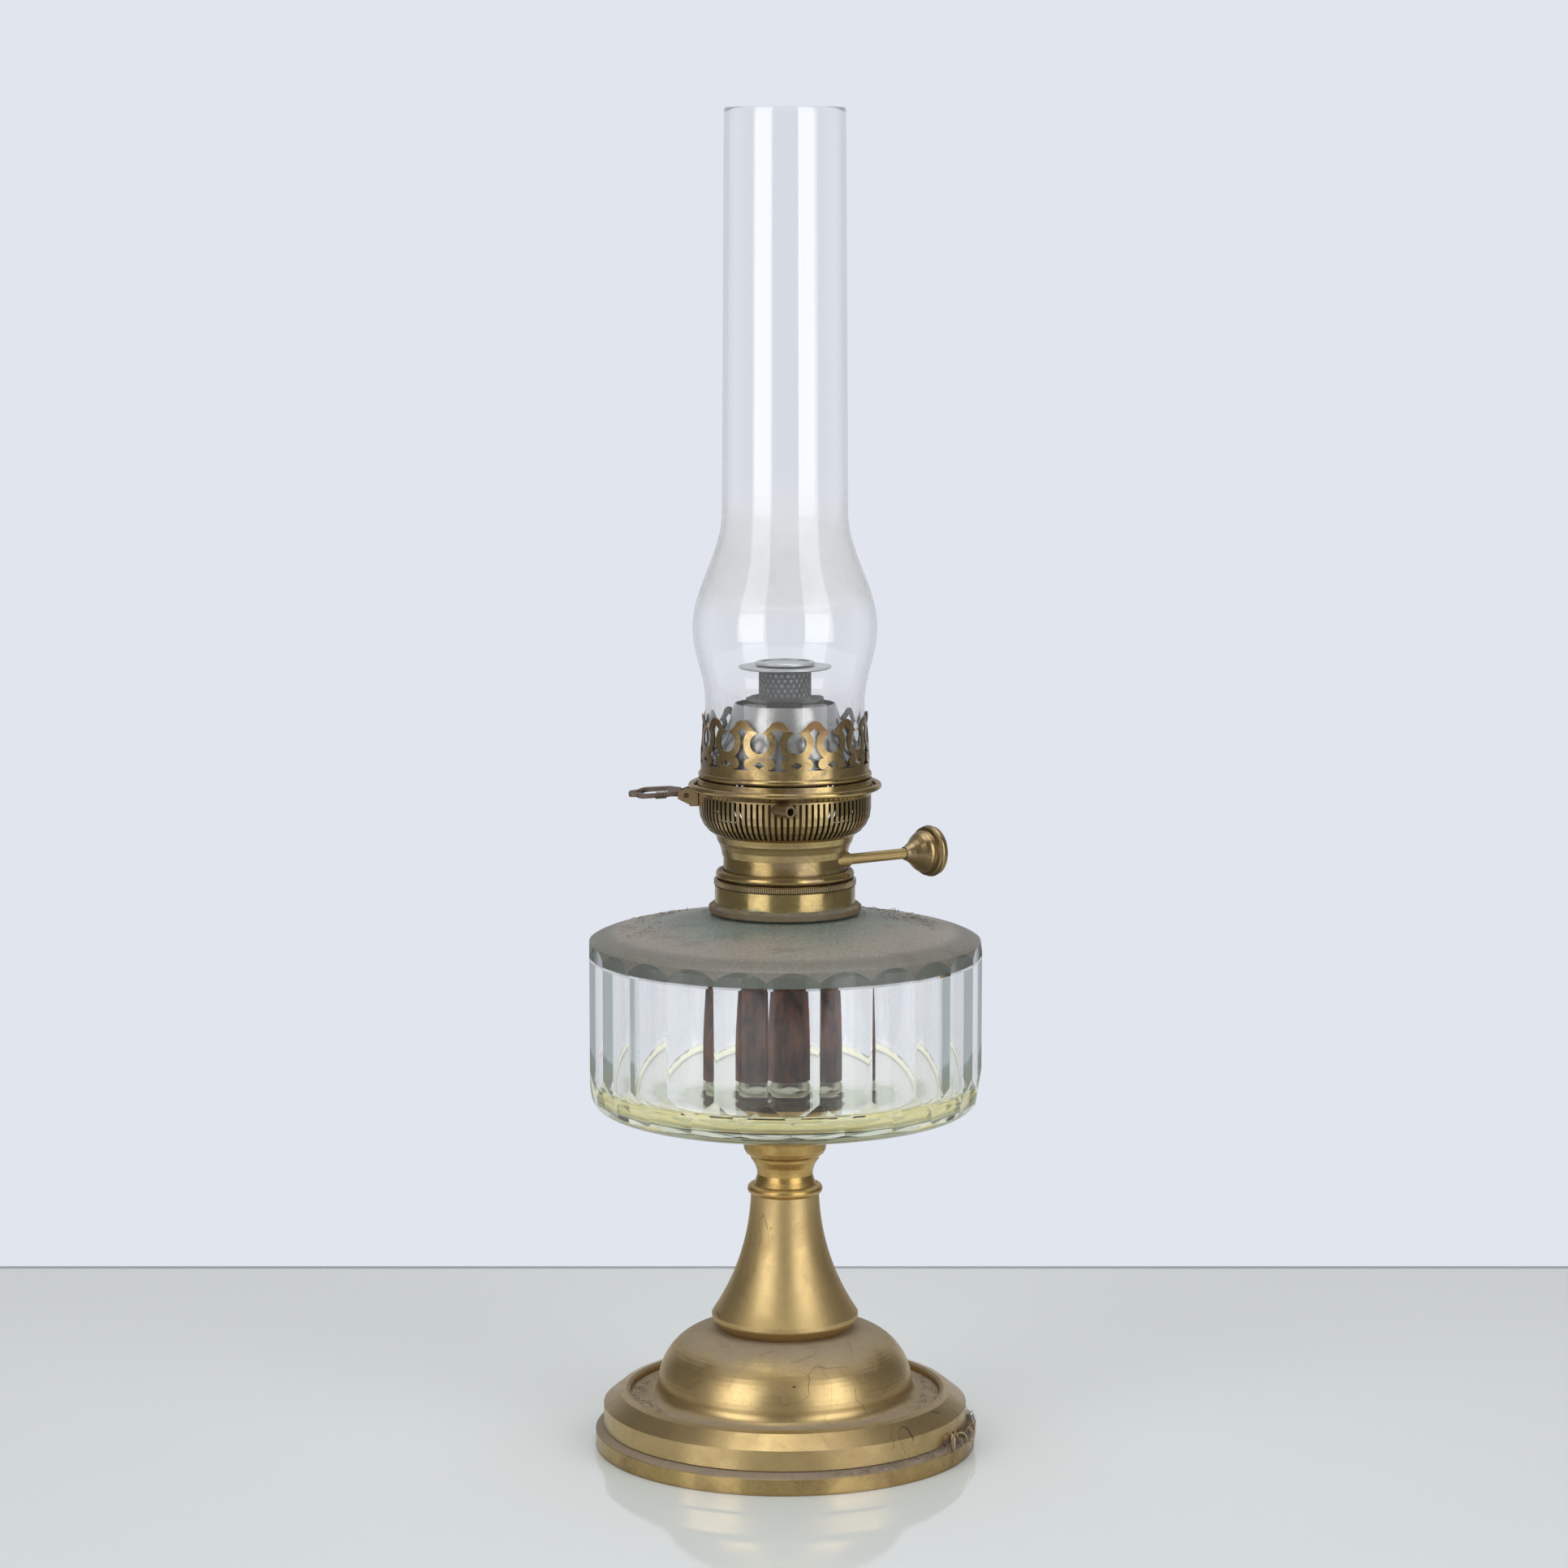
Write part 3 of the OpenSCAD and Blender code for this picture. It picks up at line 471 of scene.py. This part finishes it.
foot_brass = brass("foot_brass", GOLD, (0.40, 0.27, 0.13), 0.35, 0.33, dust=0.92, dust_from=0.54, hairs=0.8,
                   dust_colour=(0.30, 0.245, 0.195))
rim_brass = brass("rim_brass", (0.60, 0.44, 0.21), (0.33, 0.22, 0.105), 0.45, 0.27, dust=0.92, dust_from=0.42,
                  dust_within=0.0650, hairs=0.7)
foot_band_brass = brass("foot_band_brass", GOLD_DULL, (0.20, 0.125, 0.06), 0.65, 0.2, dust=0.95,
                        dust_from=0.5, dust_colour=(0.26, 0.215, 0.18), hairs=0.6)
stem_brass = brass("stem_brass", GOLD, (0.38, 0.25, 0.115), 0.35, 0.42, dust=0.5, dust_from=0.62, hairs=0.6)
neck_brass = brass("neck_brass", (0.64, 0.43, 0.15), (0.22, 0.12, 0.05), 0.5, 0.3, dust=0.4, dust_from=0.6)
collar_brass = brass("collar_brass", (0.70, 0.54, 0.23), BROWN, 0.6, 0.12, dust=0.8, dust_from=0.5, green=0.8,
                     dust_colour=(0.20, 0.19, 0.16), mauve=0.25, crust=(0.2266, 0.2254))
ring_brass = brass("ring_brass", (0.56, 0.43, 0.24), BROWN, 0.45, 0.28, green=0.45,
                   knurl=(0.2340, 0.2362, 200))
burner_brass = brass("burner_brass", (0.60, 0.445, 0.185), BROWN, 0.8, 0.15, dust=0.4, dust_from=0.55,
                     green=0.5, pits=0.7, mauve=0.45)
basket_brass = brass("basket_brass", (0.58, 0.44, 0.20), BROWN, 0.6, 0.22, pits=0.5, mauve=0.2,
                     shaded_inside=True)
crown_brass = brass("crown_brass", (0.54, 0.40, 0.185), (0.20, 0.115, 0.05), 0.85, 0.22, pits=0.8,
                    caps=(0.3015, 0.3060), mauve=0.7, green=0.2, shaded_inside=True)
shaft_brass = brass("shaft_brass", (0.72, 0.53, 0.24), (0.30, 0.19, 0.09), 0.45, 0.34, dust=0.2)
knob_brass = brass("knob_brass", (0.46, 0.335, 0.165), (0.17, 0.105, 0.06), 0.7, 0.27, dust=0.3, mauve=0.5)
# Painted shade: a much darker copy of the brass for the parts inside the burner.
inner_brass = brass("inner_brass", (0.13, 0.08, 0.04), (0.045, 0.03, 0.02), 0.9, 0.5)
stud_brass = brass("stud_brass", (0.40, 0.29, 0.16), (0.12, 0.075, 0.045), 0.9, 0.35, mauve=0.5)
cone_steel = steel("cone_steel", (0.34, 0.34, 0.34), (0.19, 0.17, 0.155), 0.17, 0.55, scale=35)
# Painted light: the tube's inside faces are near white, so that its holes read light.
spreader_steel = steel("spreader_steel", (0.035, 0.037, 0.045), (0.012, 0.012, 0.015), 0.5, 0.7,
                       inside=(0.90, 0.91, 0.93))
disc_steel = steel("disc_steel", (0.47, 0.48, 0.49), (0.25, 0.25, 0.255), 0.42, 0.6)
dark_steel = steel("dark_steel", (0.26, 0.20, 0.165), (0.10, 0.062, 0.048), 0.4, 0.8, rust=0.5)
plain_steel = steel("plain_steel", (0.32, 0.32, 0.33), (0.13, 0.12, 0.11), 0.4, 0.6, rust=0.25)
iron = plain_rough("iron", (0.09, 0.08, 0.075), (0.035, 0.03, 0.028), 0.8)
plaster = plain_rough("plaster", (0.62, 0.58, 0.50), (0.42, 0.37, 0.30), 0.95)
fluff_mat = plain_rough("fluff", (0.40, 0.34, 0.27), (0.20, 0.155, 0.11), 0.95, 900, 0.0001)
grit_mat = plain_rough("grit", (0.60, 0.55, 0.45), (0.30, 0.25, 0.19), 0.95, 700, 0.0001)
straw_mat = plain_rough("straw", (0.62, 0.50, 0.32), (0.42, 0.26, 0.13), 0.85, 400, 0.0001)
font_mat = font_glass_material()
chimney_mat = chimney_material()
wick_mat = wick_material()
kerosene_mat = kerosene_material()

NODE_MATERIALS = {
    "foot_base_ring": foot_band_brass, "foot_rim": rim_brass, "foot_dome": foot_brass,
    "foot_weight": iron, "base_plate": iron, "tie_washer": plain_steel, "tie_nut": plain_steel,
    "tie_rod": plain_steel, "stem_trumpet": stem_brass, "stem_bead": neck_brass, "neck_spool": neck_brass,
    "font_cup": neck_brass, "cup_cement": plaster, "rod_nut": plain_steel, "font_glass": font_mat,
    "collar_cement": plaster, "font_collar": collar_brass, "thread_ring": ring_brass,
    "burner_band": burner_brass, "burner_floor": inner_brass, "air_basket": basket_brass,
    "basket_rim": burner_brass, "wick_tube": inner_brass, "draft_tube": inner_brass,
    "air_duct": inner_brass, "shaft_bush": shaft_brass, "shaft_bearing": inner_brass,
    "basket_stud": stud_brass, "lever_bracket": stud_brass, "lever_pin": inner_brass,
    "wick_shaft": shaft_brass, "feed_wheels": plain_steel, "wick_knob": knob_brass,
    "lift_lever": dark_steel, "lift_fork": inner_brass, "gallery_crown": crown_brass,
    "gallery_bead": burner_brass, "gallery_guides": inner_brass, "gallery_floor": inner_brass,
    "air_cone": cone_steel, "spreader_tube": spreader_steel, "spreader_disc": disc_steel,
    "spreader_cap": disc_steel,
}
for node_name, material in NODE_MATERIALS.items():
    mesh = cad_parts[node_name].data
    mesh.materials.clear()
    mesh.materials.append(material)

# Chimney, smooth

LOW, MID, HIGH, LENGTH = 27.0, 56.7, 104.0, 264.8
BASE_R, BULGE_R, TUBE_R = 32.4, 37.45, 24.4
GLASS = 1.5


def chimney_r(h):
    if h < LOW:
        return BASE_R
    if h < MID:
        return BASE_R + (BULGE_R - BASE_R) * ease((h - LOW) / (MID - LOW))
    if h < HIGH:
        return BULGE_R + (TUBE_R + 1.1 - BULGE_R) * ease((h - MID) / (HIGH - MID))
    return TUBE_R + 1.1 * (LENGTH - h) / (LENGTH - HIGH)


heights = [0.35 + 1.15 * i for i in range(int((LENGTH - 1.4) / 1.15))] + [LENGTH - 0.6]
outer = [(chimney_r(h), Z_CHIMNEY + h) for h in heights]
inner = [(chimney_r(h) - GLASS, Z_CHIMNEY + h) for h in reversed(heights)]
lip_z = Z_CHIMNEY + LENGTH - 0.05
lip = [(chimney_r(LENGTH) - 0.3, lip_z), (chimney_r(LENGTH) - 1.2, lip_z)]
foot_edge = [(BASE_R - 1.2, Z_CHIMNEY + 0.05), (BASE_R - 0.3, Z_CHIMNEY + 0.05)]
chimney = lathe("chimney_smooth", outer + lip + inner + foot_edge, chimney_mat, "chimney", sharp=50)
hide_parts("chimney_glass")

# Kerosene left in the font

LEVEL = 153.3
INTO_GLASS = 0.15
floor_line = [(0, 5.2), (20, 5.2), (45, 8.2), (69, 10.77)]
corner_r = 5.2 + INTO_GLASS
kerosene_section = [(r, Z_FONT + z - INTO_GLASS) for r, z in floor_line]
for turn in range(-90, 15, 8):
    a = math.radians(turn)
    kerosene_section.append((70.2 + corner_r * math.cos(a), Z_FONT + 15.8 + corner_r * math.sin(a)))
kerosene_section += [(75.45, LEVEL), (0, LEVEL)]
kerosene = lathe("kerosene", kerosene_section, kerosene_mat, "lamp", sharp=60)

# Wick


def wick_crown():
    """Woven ring, ragged at its burnt top, open at the back below the burner's top."""
    z0, z1, top_gap = 236.6, 310.9, 286.6
    inner_r, outer_r = 13.62, 15.78
    steps, rows = 240, 90
    gap_turn = 5.2 / 13.6 * 1.15
    verts, faces, index = [], [], {}

    def point(i, k, side):
        a = TAU * i / steps
        z = z0 + (z1 - z0) * k / rows
        n = noise.noise(Vector((math.cos(a) * 9, math.sin(a) * 9, z * 0.5)))
        ragged = max(0.0, (z - 305) / 6)
        r = outer_r + 0.05 * n if side else inner_r - 0.03 * abs(n)
        if side and ragged:
            r += 0.06 * ragged * n
        if k == rows:
            z += 0.5 * n - 0.5
        return (r * math.cos(a) * MM, r * math.sin(a) * MM, z * MM)

    def cut(i, k):
        a = TAU * i / steps
        z = z0 + (z1 - z0) * k / rows
        turn = (a - BACK_GAP + math.pi) % TAU - math.pi
        return z < top_gap and abs(turn) < gap_turn

    def vert(i, k, side):
        key = (i % steps, k, side)
        if key not in index:
            index[key] = len(verts)
            verts.append(point(i % steps, k, side))
        return index[key]

    def solid(i, k):
        return not (cut(i % steps, k) or cut((i + 1) % steps, k))

    for k in range(rows):
        for i in range(steps):
            if not solid(i, k):
                continue
            o = [vert(i, k, 1), vert(i + 1, k, 1), vert(i + 1, k + 1, 1), vert(i, k + 1, 1)]
            n = [vert(i, k, 0), vert(i + 1, k, 0), vert(i + 1, k + 1, 0), vert(i, k + 1, 0)]
            faces.append(tuple(o))
            faces.append(tuple(reversed(n)))
            if k == 0 or not solid(i, k - 1):
                faces.append((n[0], n[1], o[1], o[0]))
            if k == rows - 1:
                faces.append((o[3], o[2], n[2], n[3]))
            if not solid(i - 1, k):
                faces.append((o[0], o[3], n[3], n[0]))
            if not solid(i + 1, k):
                faces.append((n[1], n[2], o[2], o[1]))
    return mesh_object("wick_ring", verts, faces, wick_mat, "wick", sharp=50)


ring = wick_crown()
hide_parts("wick_crown")

# Both edges of each strip in degrees from the wick's gap, and how far it ends above the lowest one
TAIL_STRIPS = [(20, 98.2, 0.0), (98.8, 188.7, 0.8), (189.3, 278.7, 0.4), (279.3, 340, 1.2)]
TAIL_TOP, TAIL_BOTTOM, TAIL_WALL = 236.5, 150.2, 2.0


def mix(a, b, t):
    return a + (b - a) * t


def tail_point(strip, u, t, inset):
    """u runs across a strip of the wick's cloth, t from the tube down, where the round wick goes flat."""
    first, last, lift = strip
    flat = ease(t * 1.35 - 0.18)
    turn = mix(first, last, u)
    fray = noise.noise(Vector((first + 7 * u, t * 60, 1.0)))
    turn += 0.9 * fray * (1 if u == 1 else -1 if u == 0 else 0) * flat
    a = BACK_GAP + math.radians(turn)
    wave = 0.8 * math.sin(5 * a) * flat
    drift = noise.noise(Vector((a * 1.3, t * 3.2, 4.0))) * 0.35 * flat
    rx = mix(15.75, 22.15, flat) - inset + drift
    ry = mix(15.75, 8.95, flat) - inset + wave + drift
    bottom = TAIL_BOTTOM + lift + 0.5 * noise.noise(Vector((turn * 0.5, 3.0, 2.0)))
    return ((rx * math.cos(a) - 1.2 * flat) * MM, ry * math.sin(a) * MM, mix(TAIL_TOP, bottom, t) * MM)


def cloth_size(strip, across, down):
    """Width at half length, length and area of a strip's middle surface, in metres."""
    grid = [[Vector(tail_point(strip, i / across, k / down, TAIL_WALL / 2)) for i in range(across + 1)]
            for k in range(down + 1)]
    middle = grid[down // 2]
    width = sum((middle[i + 1] - middle[i]).length for i in range(across))
    length = sum((grid[k + 1][across // 2] - grid[k][across // 2]).length for k in range(down))
    area = sum((grid[k][i + 1] - grid[k][i]).cross(grid[k + 1][i] - grid[k][i]).length
               for k in range(down) for i in range(across))
    return width, length, area


def wick_strip(number, strip):
    across, down = 40, 84
    verts, faces = [], []
    row = across + 1
    count = row * (down + 1)
    for inset in (0.0, TAIL_WALL):
        for k in range(down + 1):
            for i in range(row):
                verts.append(tail_point(strip, i / across, k / down, inset))
    for k in range(down):
        for i in range(across):
            a = k * row + i
            faces.append((a, a + 1, a + row + 1, a + row))
            faces.append((a + count, a + count + row, a + count + row + 1, a + count + 1))
    for i in range(across):
        e = down * row + i
        faces.append((i, i + count, i + count + 1, i + 1))
        faces.append((e, e + 1, e + 1 + count, e + count))
    for k in range(down):
        a, p = k * row, k * row + across
        faces.append((a, a + row, a + row + count, a + count))
        faces.append((p, p + count, p + row + count, p + row))
    obj = mesh_object("wick_tail_%d" % number, verts, faces, wick_mat, "wick", sharp=60)
    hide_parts("wick_tails")
    width, length, area = cloth_size(strip, across, down)
    return obj


for number, strip in enumerate(TAIL_STRIPS, 1):
    wick_strip(number, strip)

# Dust, fluff and straw that lie on the lamp


def shoulder_z(r):
    return 221.4 - (r - 32) * 7.1 / 38


def ledge_z(r):
    return 8.65 - max(0.0, r - 74.6) * 0.5


def dish_z(r):
    return 20.25 + max(0.0, 64.2 - r) * 0.12 + max(0.0, 57 - r) ** 2 * 0.11


def dome_z(r):
    return 25.0 + math.sqrt(max(0.0, 23.55 ** 2 - (r - 29) ** 2))


def chips(name, material, patches, seed):
    """Small angular grains; each patch is (count, r low, r high, azimuth low, azimuth high, height, size)."""
    rnd = random.Random(seed)
    verts, faces = [], []
    corners = [Vector(v) for v in ((1, 0, 0), (-1, 0, 0), (0, 1, 0), (0, -1, 0), (0, 0, 1), (0, 0, -1))]
    sides = [(0, 2, 4), (2, 1, 4), (1, 3, 4), (3, 0, 4), (2, 0, 5), (1, 2, 5), (3, 1, 5), (0, 3, 5)]
    for count, r0, r1, a0, a1, height, size in patches:
        for _ in range(count):
            r, a = rnd.uniform(r0, r1), math.radians(rnd.uniform(a0, a1))
            s = size * rnd.uniform(0.35, 1.0)
            shape = Vector((rnd.uniform(0.5, 1.3), rnd.uniform(0.4, 0.9), rnd.uniform(0.3, 0.6))) * s
            turn = Matrix.Rotation(rnd.uniform(0, TAU), 3, "Z")
            turn = turn @ Matrix.Rotation(rnd.uniform(-0.5, 0.5), 3, "X")
            at = Vector((r * math.cos(a), r * math.sin(a), height(r) + shape.z * 0.6))
            start = len(verts)
            for c in corners:
                verts.append((at + turn @ Vector((c.x * shape.x, c.y * shape.y, c.z * shape.z))) * MM)
            faces += [tuple(start + i for i in side) for side in sides]
    return mesh_object(name, verts, faces, material, "lamp", smooth=False)


def tube(verts, faces, path, radius, sides=5):
    """Adds a closed thin tube along a path of vectors, tapering at both ends."""
    start = len(verts)
    for k, p in enumerate(path):
        ahead = path[min(k + 1, len(path) - 1)] - path[max(k - 1, 0)]
        across = ahead.cross(Vector((0.31, 0.47, 0.83))).normalized()
        other = ahead.cross(across).normalized()
        r = radius * (0.45 if k in (0, len(path) - 1) else 1.0)
        for i in range(sides):
            a = TAU * i / sides
            verts.append((p + across * r * math.cos(a) + other * r * math.sin(a)) * MM)
    for k in range(len(path) - 1):
        for i in range(sides):
            j = (i + 1) % sides
            a, b = start + k * sides, start + (k + 1) * sides
            faces.append((a + i, a + j, b + j, b + i))
    last = start + (len(path) - 1) * sides
    faces.append(tuple(start + i for i in reversed(range(sides))))
    faces.append(tuple(last + i for i in range(sides)))


def fibres(name, material, patches, seed):
    """Curled hairs; each patch adds (length, lift, radius) to the six values that place a patch of chips."""
    rnd = random.Random(seed)
    verts, faces = [], []
    for count, r0, r1, a0, a1, height, length, lift, radius in patches:
        for _ in range(count):
            r, a = rnd.uniform(r0, r1), math.radians(rnd.uniform(a0, a1))
            p = Vector((r * math.cos(a), r * math.sin(a), 0))
            heading, curl = rnd.uniform(0, TAU), rnd.uniform(-0.35, 0.35)
            long = length * rnd.uniform(0.5, 1.0)
            high = lift * rnd.uniform(0.2, 1.0)
            path = []
            for k in range(9):
                here = min(max(p.xy.length, r0 - 0.4), r1 + 0.4)
                flat = p.xy.normalized() * here
                z = height(here) + radius + high * math.sin(math.pi * k / 8)
                path.append(Vector((flat.x, flat.y, z)))
                heading += curl + rnd.uniform(-0.3, 0.3)
                p = path[-1] + Vector((math.cos(heading), math.sin(heading), 0)) * long / 8
            tube(verts, faces, path, radius, 4)
    return mesh_object(name, verts, faces, material, "lamp", smooth=True)


pieces = [
    chips("foot_grit", grit_mat, [(80, 75.4, 78.2, -62, 4, ledge_z, 0.55),
                                  (30, 75.4, 78.0, 150, 230, ledge_z, 0.35),
                                  (120, 56, 64, 150, 215, dish_z, 0.6),
                                  (90, 57, 64, -30, 25, dish_z, 0.6),
                                  (60, 10, 50, -180, 180, dome_z, 0.22)], 11),
    fibres("foot_fluff", fluff_mat, [(190, 75.5, 78.6, -32, 8, ledge_z, 6.5, 3.4, 0.09),
                                     (80, 75.2, 77.5, -75, -30, ledge_z, 4.0, 0.8, 0.08),
                                     (50, 57, 63.6, 150, 215, dish_z, 4.0, 0.9, 0.08),
                                     (30, 57, 63.6, -30, 25, dish_z, 4.0, 0.9, 0.08),
                                     (9, 34, 48, -150, -40, dome_z, 16.0, 0.25, 0.06)], 12),
    fibres("foot_straw", straw_mat, [(11, 76.0, 79.6, -30, 0, ledge_z, 7.5, 5.5, 0.40)], 13),
    chips("shoulder_grit", grit_mat, [(90, 31.8, 34.5, -180, 180, shoulder_z, 0.5),
                                      (130, 46, 69, -8, 48, shoulder_z, 0.5),
                                      (90, 50, 69, 140, 200, shoulder_z, 0.6),
                                      (70, 36, 69, -180, 180, shoulder_z, 0.32)], 14),
    fibres("shoulder_fluff", fluff_mat, [(45, 40, 62, -5, 45, shoulder_z, 5.0, 1.0, 0.10),
                                         (35, 52, 68, 140, 200, shoulder_z, 5.0, 1.2, 0.09),
                                         (24, 31.8, 34.5, -180, 180, shoulder_z, 3.5, 1.2, 0.08)], 15),
]

# Wire wound on the lever's near rail

LEVER_AZ = math.radians(175)
PIN_R, PIN_Z = 40.0, Z_BURNER + 36.6
LEVER_DROOP, LEVER_ROLL = math.radians(4), math.radians(12)


def lever_point(x, y, z):
    """From the lever's own outline, x outwards and y to its near rail, to the lamp."""
    turn = Matrix.Rotation(LEVER_DROOP, 3, "Y") @ Matrix.Rotation(-LEVER_ROLL, 3, "X")
    p = turn @ Vector((x, y, z)) + Vector((PIN_R, 0, PIN_Z))
    return Matrix.Rotation(LEVER_AZ, 3, "Z") @ p


def lever_wire():
    verts, faces = [], []
    turns, per_turn = 6, 14
    path = []
    for k in range(turns * per_turn + 1):
        a = TAU * k / per_turn
        x = 7.9 + 0.75 * k / per_turn
        path.append(lever_point(x, 4.0 + 1.35 * math.cos(a), 1.6 + 1.25 * math.sin(a)))
    tube(verts, faces, path, 0.3, 6)
    return mesh_object("lever_wire", verts, faces, dark_steel, "lever")


lever_wire()

# Table, backdrop, light

PALE = (0.753, 0.783, 0.855)


def table_material():
    g = Graph("table_mat")
    smear = g.noise(3, 4)
    colour = g.mix(smear, (0.86, 0.90, 0.89), (0.89, 0.93, 0.92))
    return g.finish(g.shader(Base_Color=colour, Roughness=0.06, IOR=1.45))


def edge_material():
    g = Graph("table_edge_mat")
    colour = g.mix(g.noise(5, 2), (0.44, 0.47, 0.50), (0.50, 0.53, 0.56))
    return g.finish(g.shader(Base_Color=colour, Roughness=0.5))


def stage_box(name, low, high, material):
    (x0, y0, z0), (x1, y1, z1) = low, high
    verts = [(x, y, z) for x in (x0, x1) for y in (y0, y1) for z in (z0, z1)]
    faces = [(0, 1, 3, 2), (4, 6, 7, 5), (0, 4, 5, 1), (2, 3, 7, 6), (0, 2, 6, 4), (1, 5, 7, 3)]
    mesh = bpy.data.meshes.new(name)
    mesh.from_pydata(verts, [], faces)
    mesh.materials.append(material)
    obj = bpy.data.objects.new(name, mesh)
    bpy.context.scene.collection.objects.link(obj)
    return obj


stage_box("table_top", (-0.9, -1.1, -0.02), (0.9, 0.293, -0.0001), table_material())
stage_box("table_edge", (-0.9, 0.293, -0.02), (0.9, 0.296, 0.0003), edge_material())

# The room is dark around a pale backdrop, so that metal and glass get dark edges. Light that goes through
# glass sees a wider backdrop, and light that goes straight through it sees pale everywhere.
world = bpy.data.worlds.new("world")
bpy.context.scene.world = world
world.use_nodes = True
world.node_tree.nodes.clear()


def world_node(kind, inputs, **props):
    node = world.node_tree.nodes.new(kind)
    for key, value in props.items():
        setattr(node, key, value)
    for key, value in inputs.items():
        if isinstance(value, bpy.types.NodeSocket):
            world.node_tree.links.new(value, node.inputs[key])
        else:
            node.inputs[key].default_value = value
    return node


def world_math(operation, a, b):
    return world_node("ShaderNodeMath", {0: a, 1: b}, operation=operation).outputs[0]


def world_mix(factor, a, b):
    return world_node("ShaderNodeMix", {0: factor, 6: a, 7: b}, data_type="RGBA").outputs[2]


light_path = world_node("ShaderNodeLightPath", {}).outputs
coords = world_node("ShaderNodeTexCoord", {})
depth = world_node("ShaderNodeSeparateXYZ", {0: coords.outputs["Generated"]}).outputs[1]
wall = world_node("ShaderNodeMapRange", {0: depth, 1: 0.72, 2: 1.02}).outputs[0]
wide_wall = world_node("ShaderNodeMapRange", {0: depth, 1: -0.25, 2: 0.25, 3: 0.3}).outputs[0]
through = world_math("GREATER_THAN", light_path["Transmission Depth"], 0.5)
not_mirrored = world_math("LESS_THAN", light_path["Glossy Depth"], 0.5)
backdrop = world_math("MAXIMUM", wall, world_math("MULTIPLY", through, wide_wall))
backdrop = world_math("MAXIMUM", backdrop, world_math("MULTIPLY", through, not_mirrored))
room = world_mix(backdrop, (0.13, 0.13, 0.133, 1), (*PALE, 1))
shown = world_mix(light_path["Is Camera Ray"], room, (*PALE, 1))
background = world_node("ShaderNodeBackground", {0: shown})
world_node("ShaderNodeOutputWorld", {0: background.outputs[0]})


def softbox(name, azimuth, distance, width, height, centre_z, radiance):
    """A tall soft panel; azimuth 0 is on the camera's side, positive to the right."""
    light = bpy.data.lights.new(name, "AREA")
    light.shape = "RECTANGLE"
    light.size = width
    light.size_y = height
    light.energy = radiance * math.pi * width * height
    obj = bpy.data.objects.new(name, light)
    a = math.radians(azimuth)
    obj.location = (math.sin(a) * distance, -math.cos(a) * distance, centre_z)
    aim = Vector((0, 0, centre_z)) - obj.location
    obj.rotation_euler = aim.to_track_quat("-Z", "Y").to_euler()
    obj.visible_camera = False
    bpy.context.scene.collection.objects.link(obj)
    return obj


softbox("softbox_left", -44, 1.35, 0.85, 1.5, 0.78, 2.15)
softbox("softbox_right", 44, 1.35, 0.92, 1.5, 0.78, 2.15)
top_light = softbox("softbox_top", 0, 0.01, 1.2, 1.2, 1.7, 2.7)
top_light.location = (0, 0.1, 1.7)
top_light.rotation_euler = (0, 0, 0)

bpy.context.scene.view_settings.view_transform = "Standard"
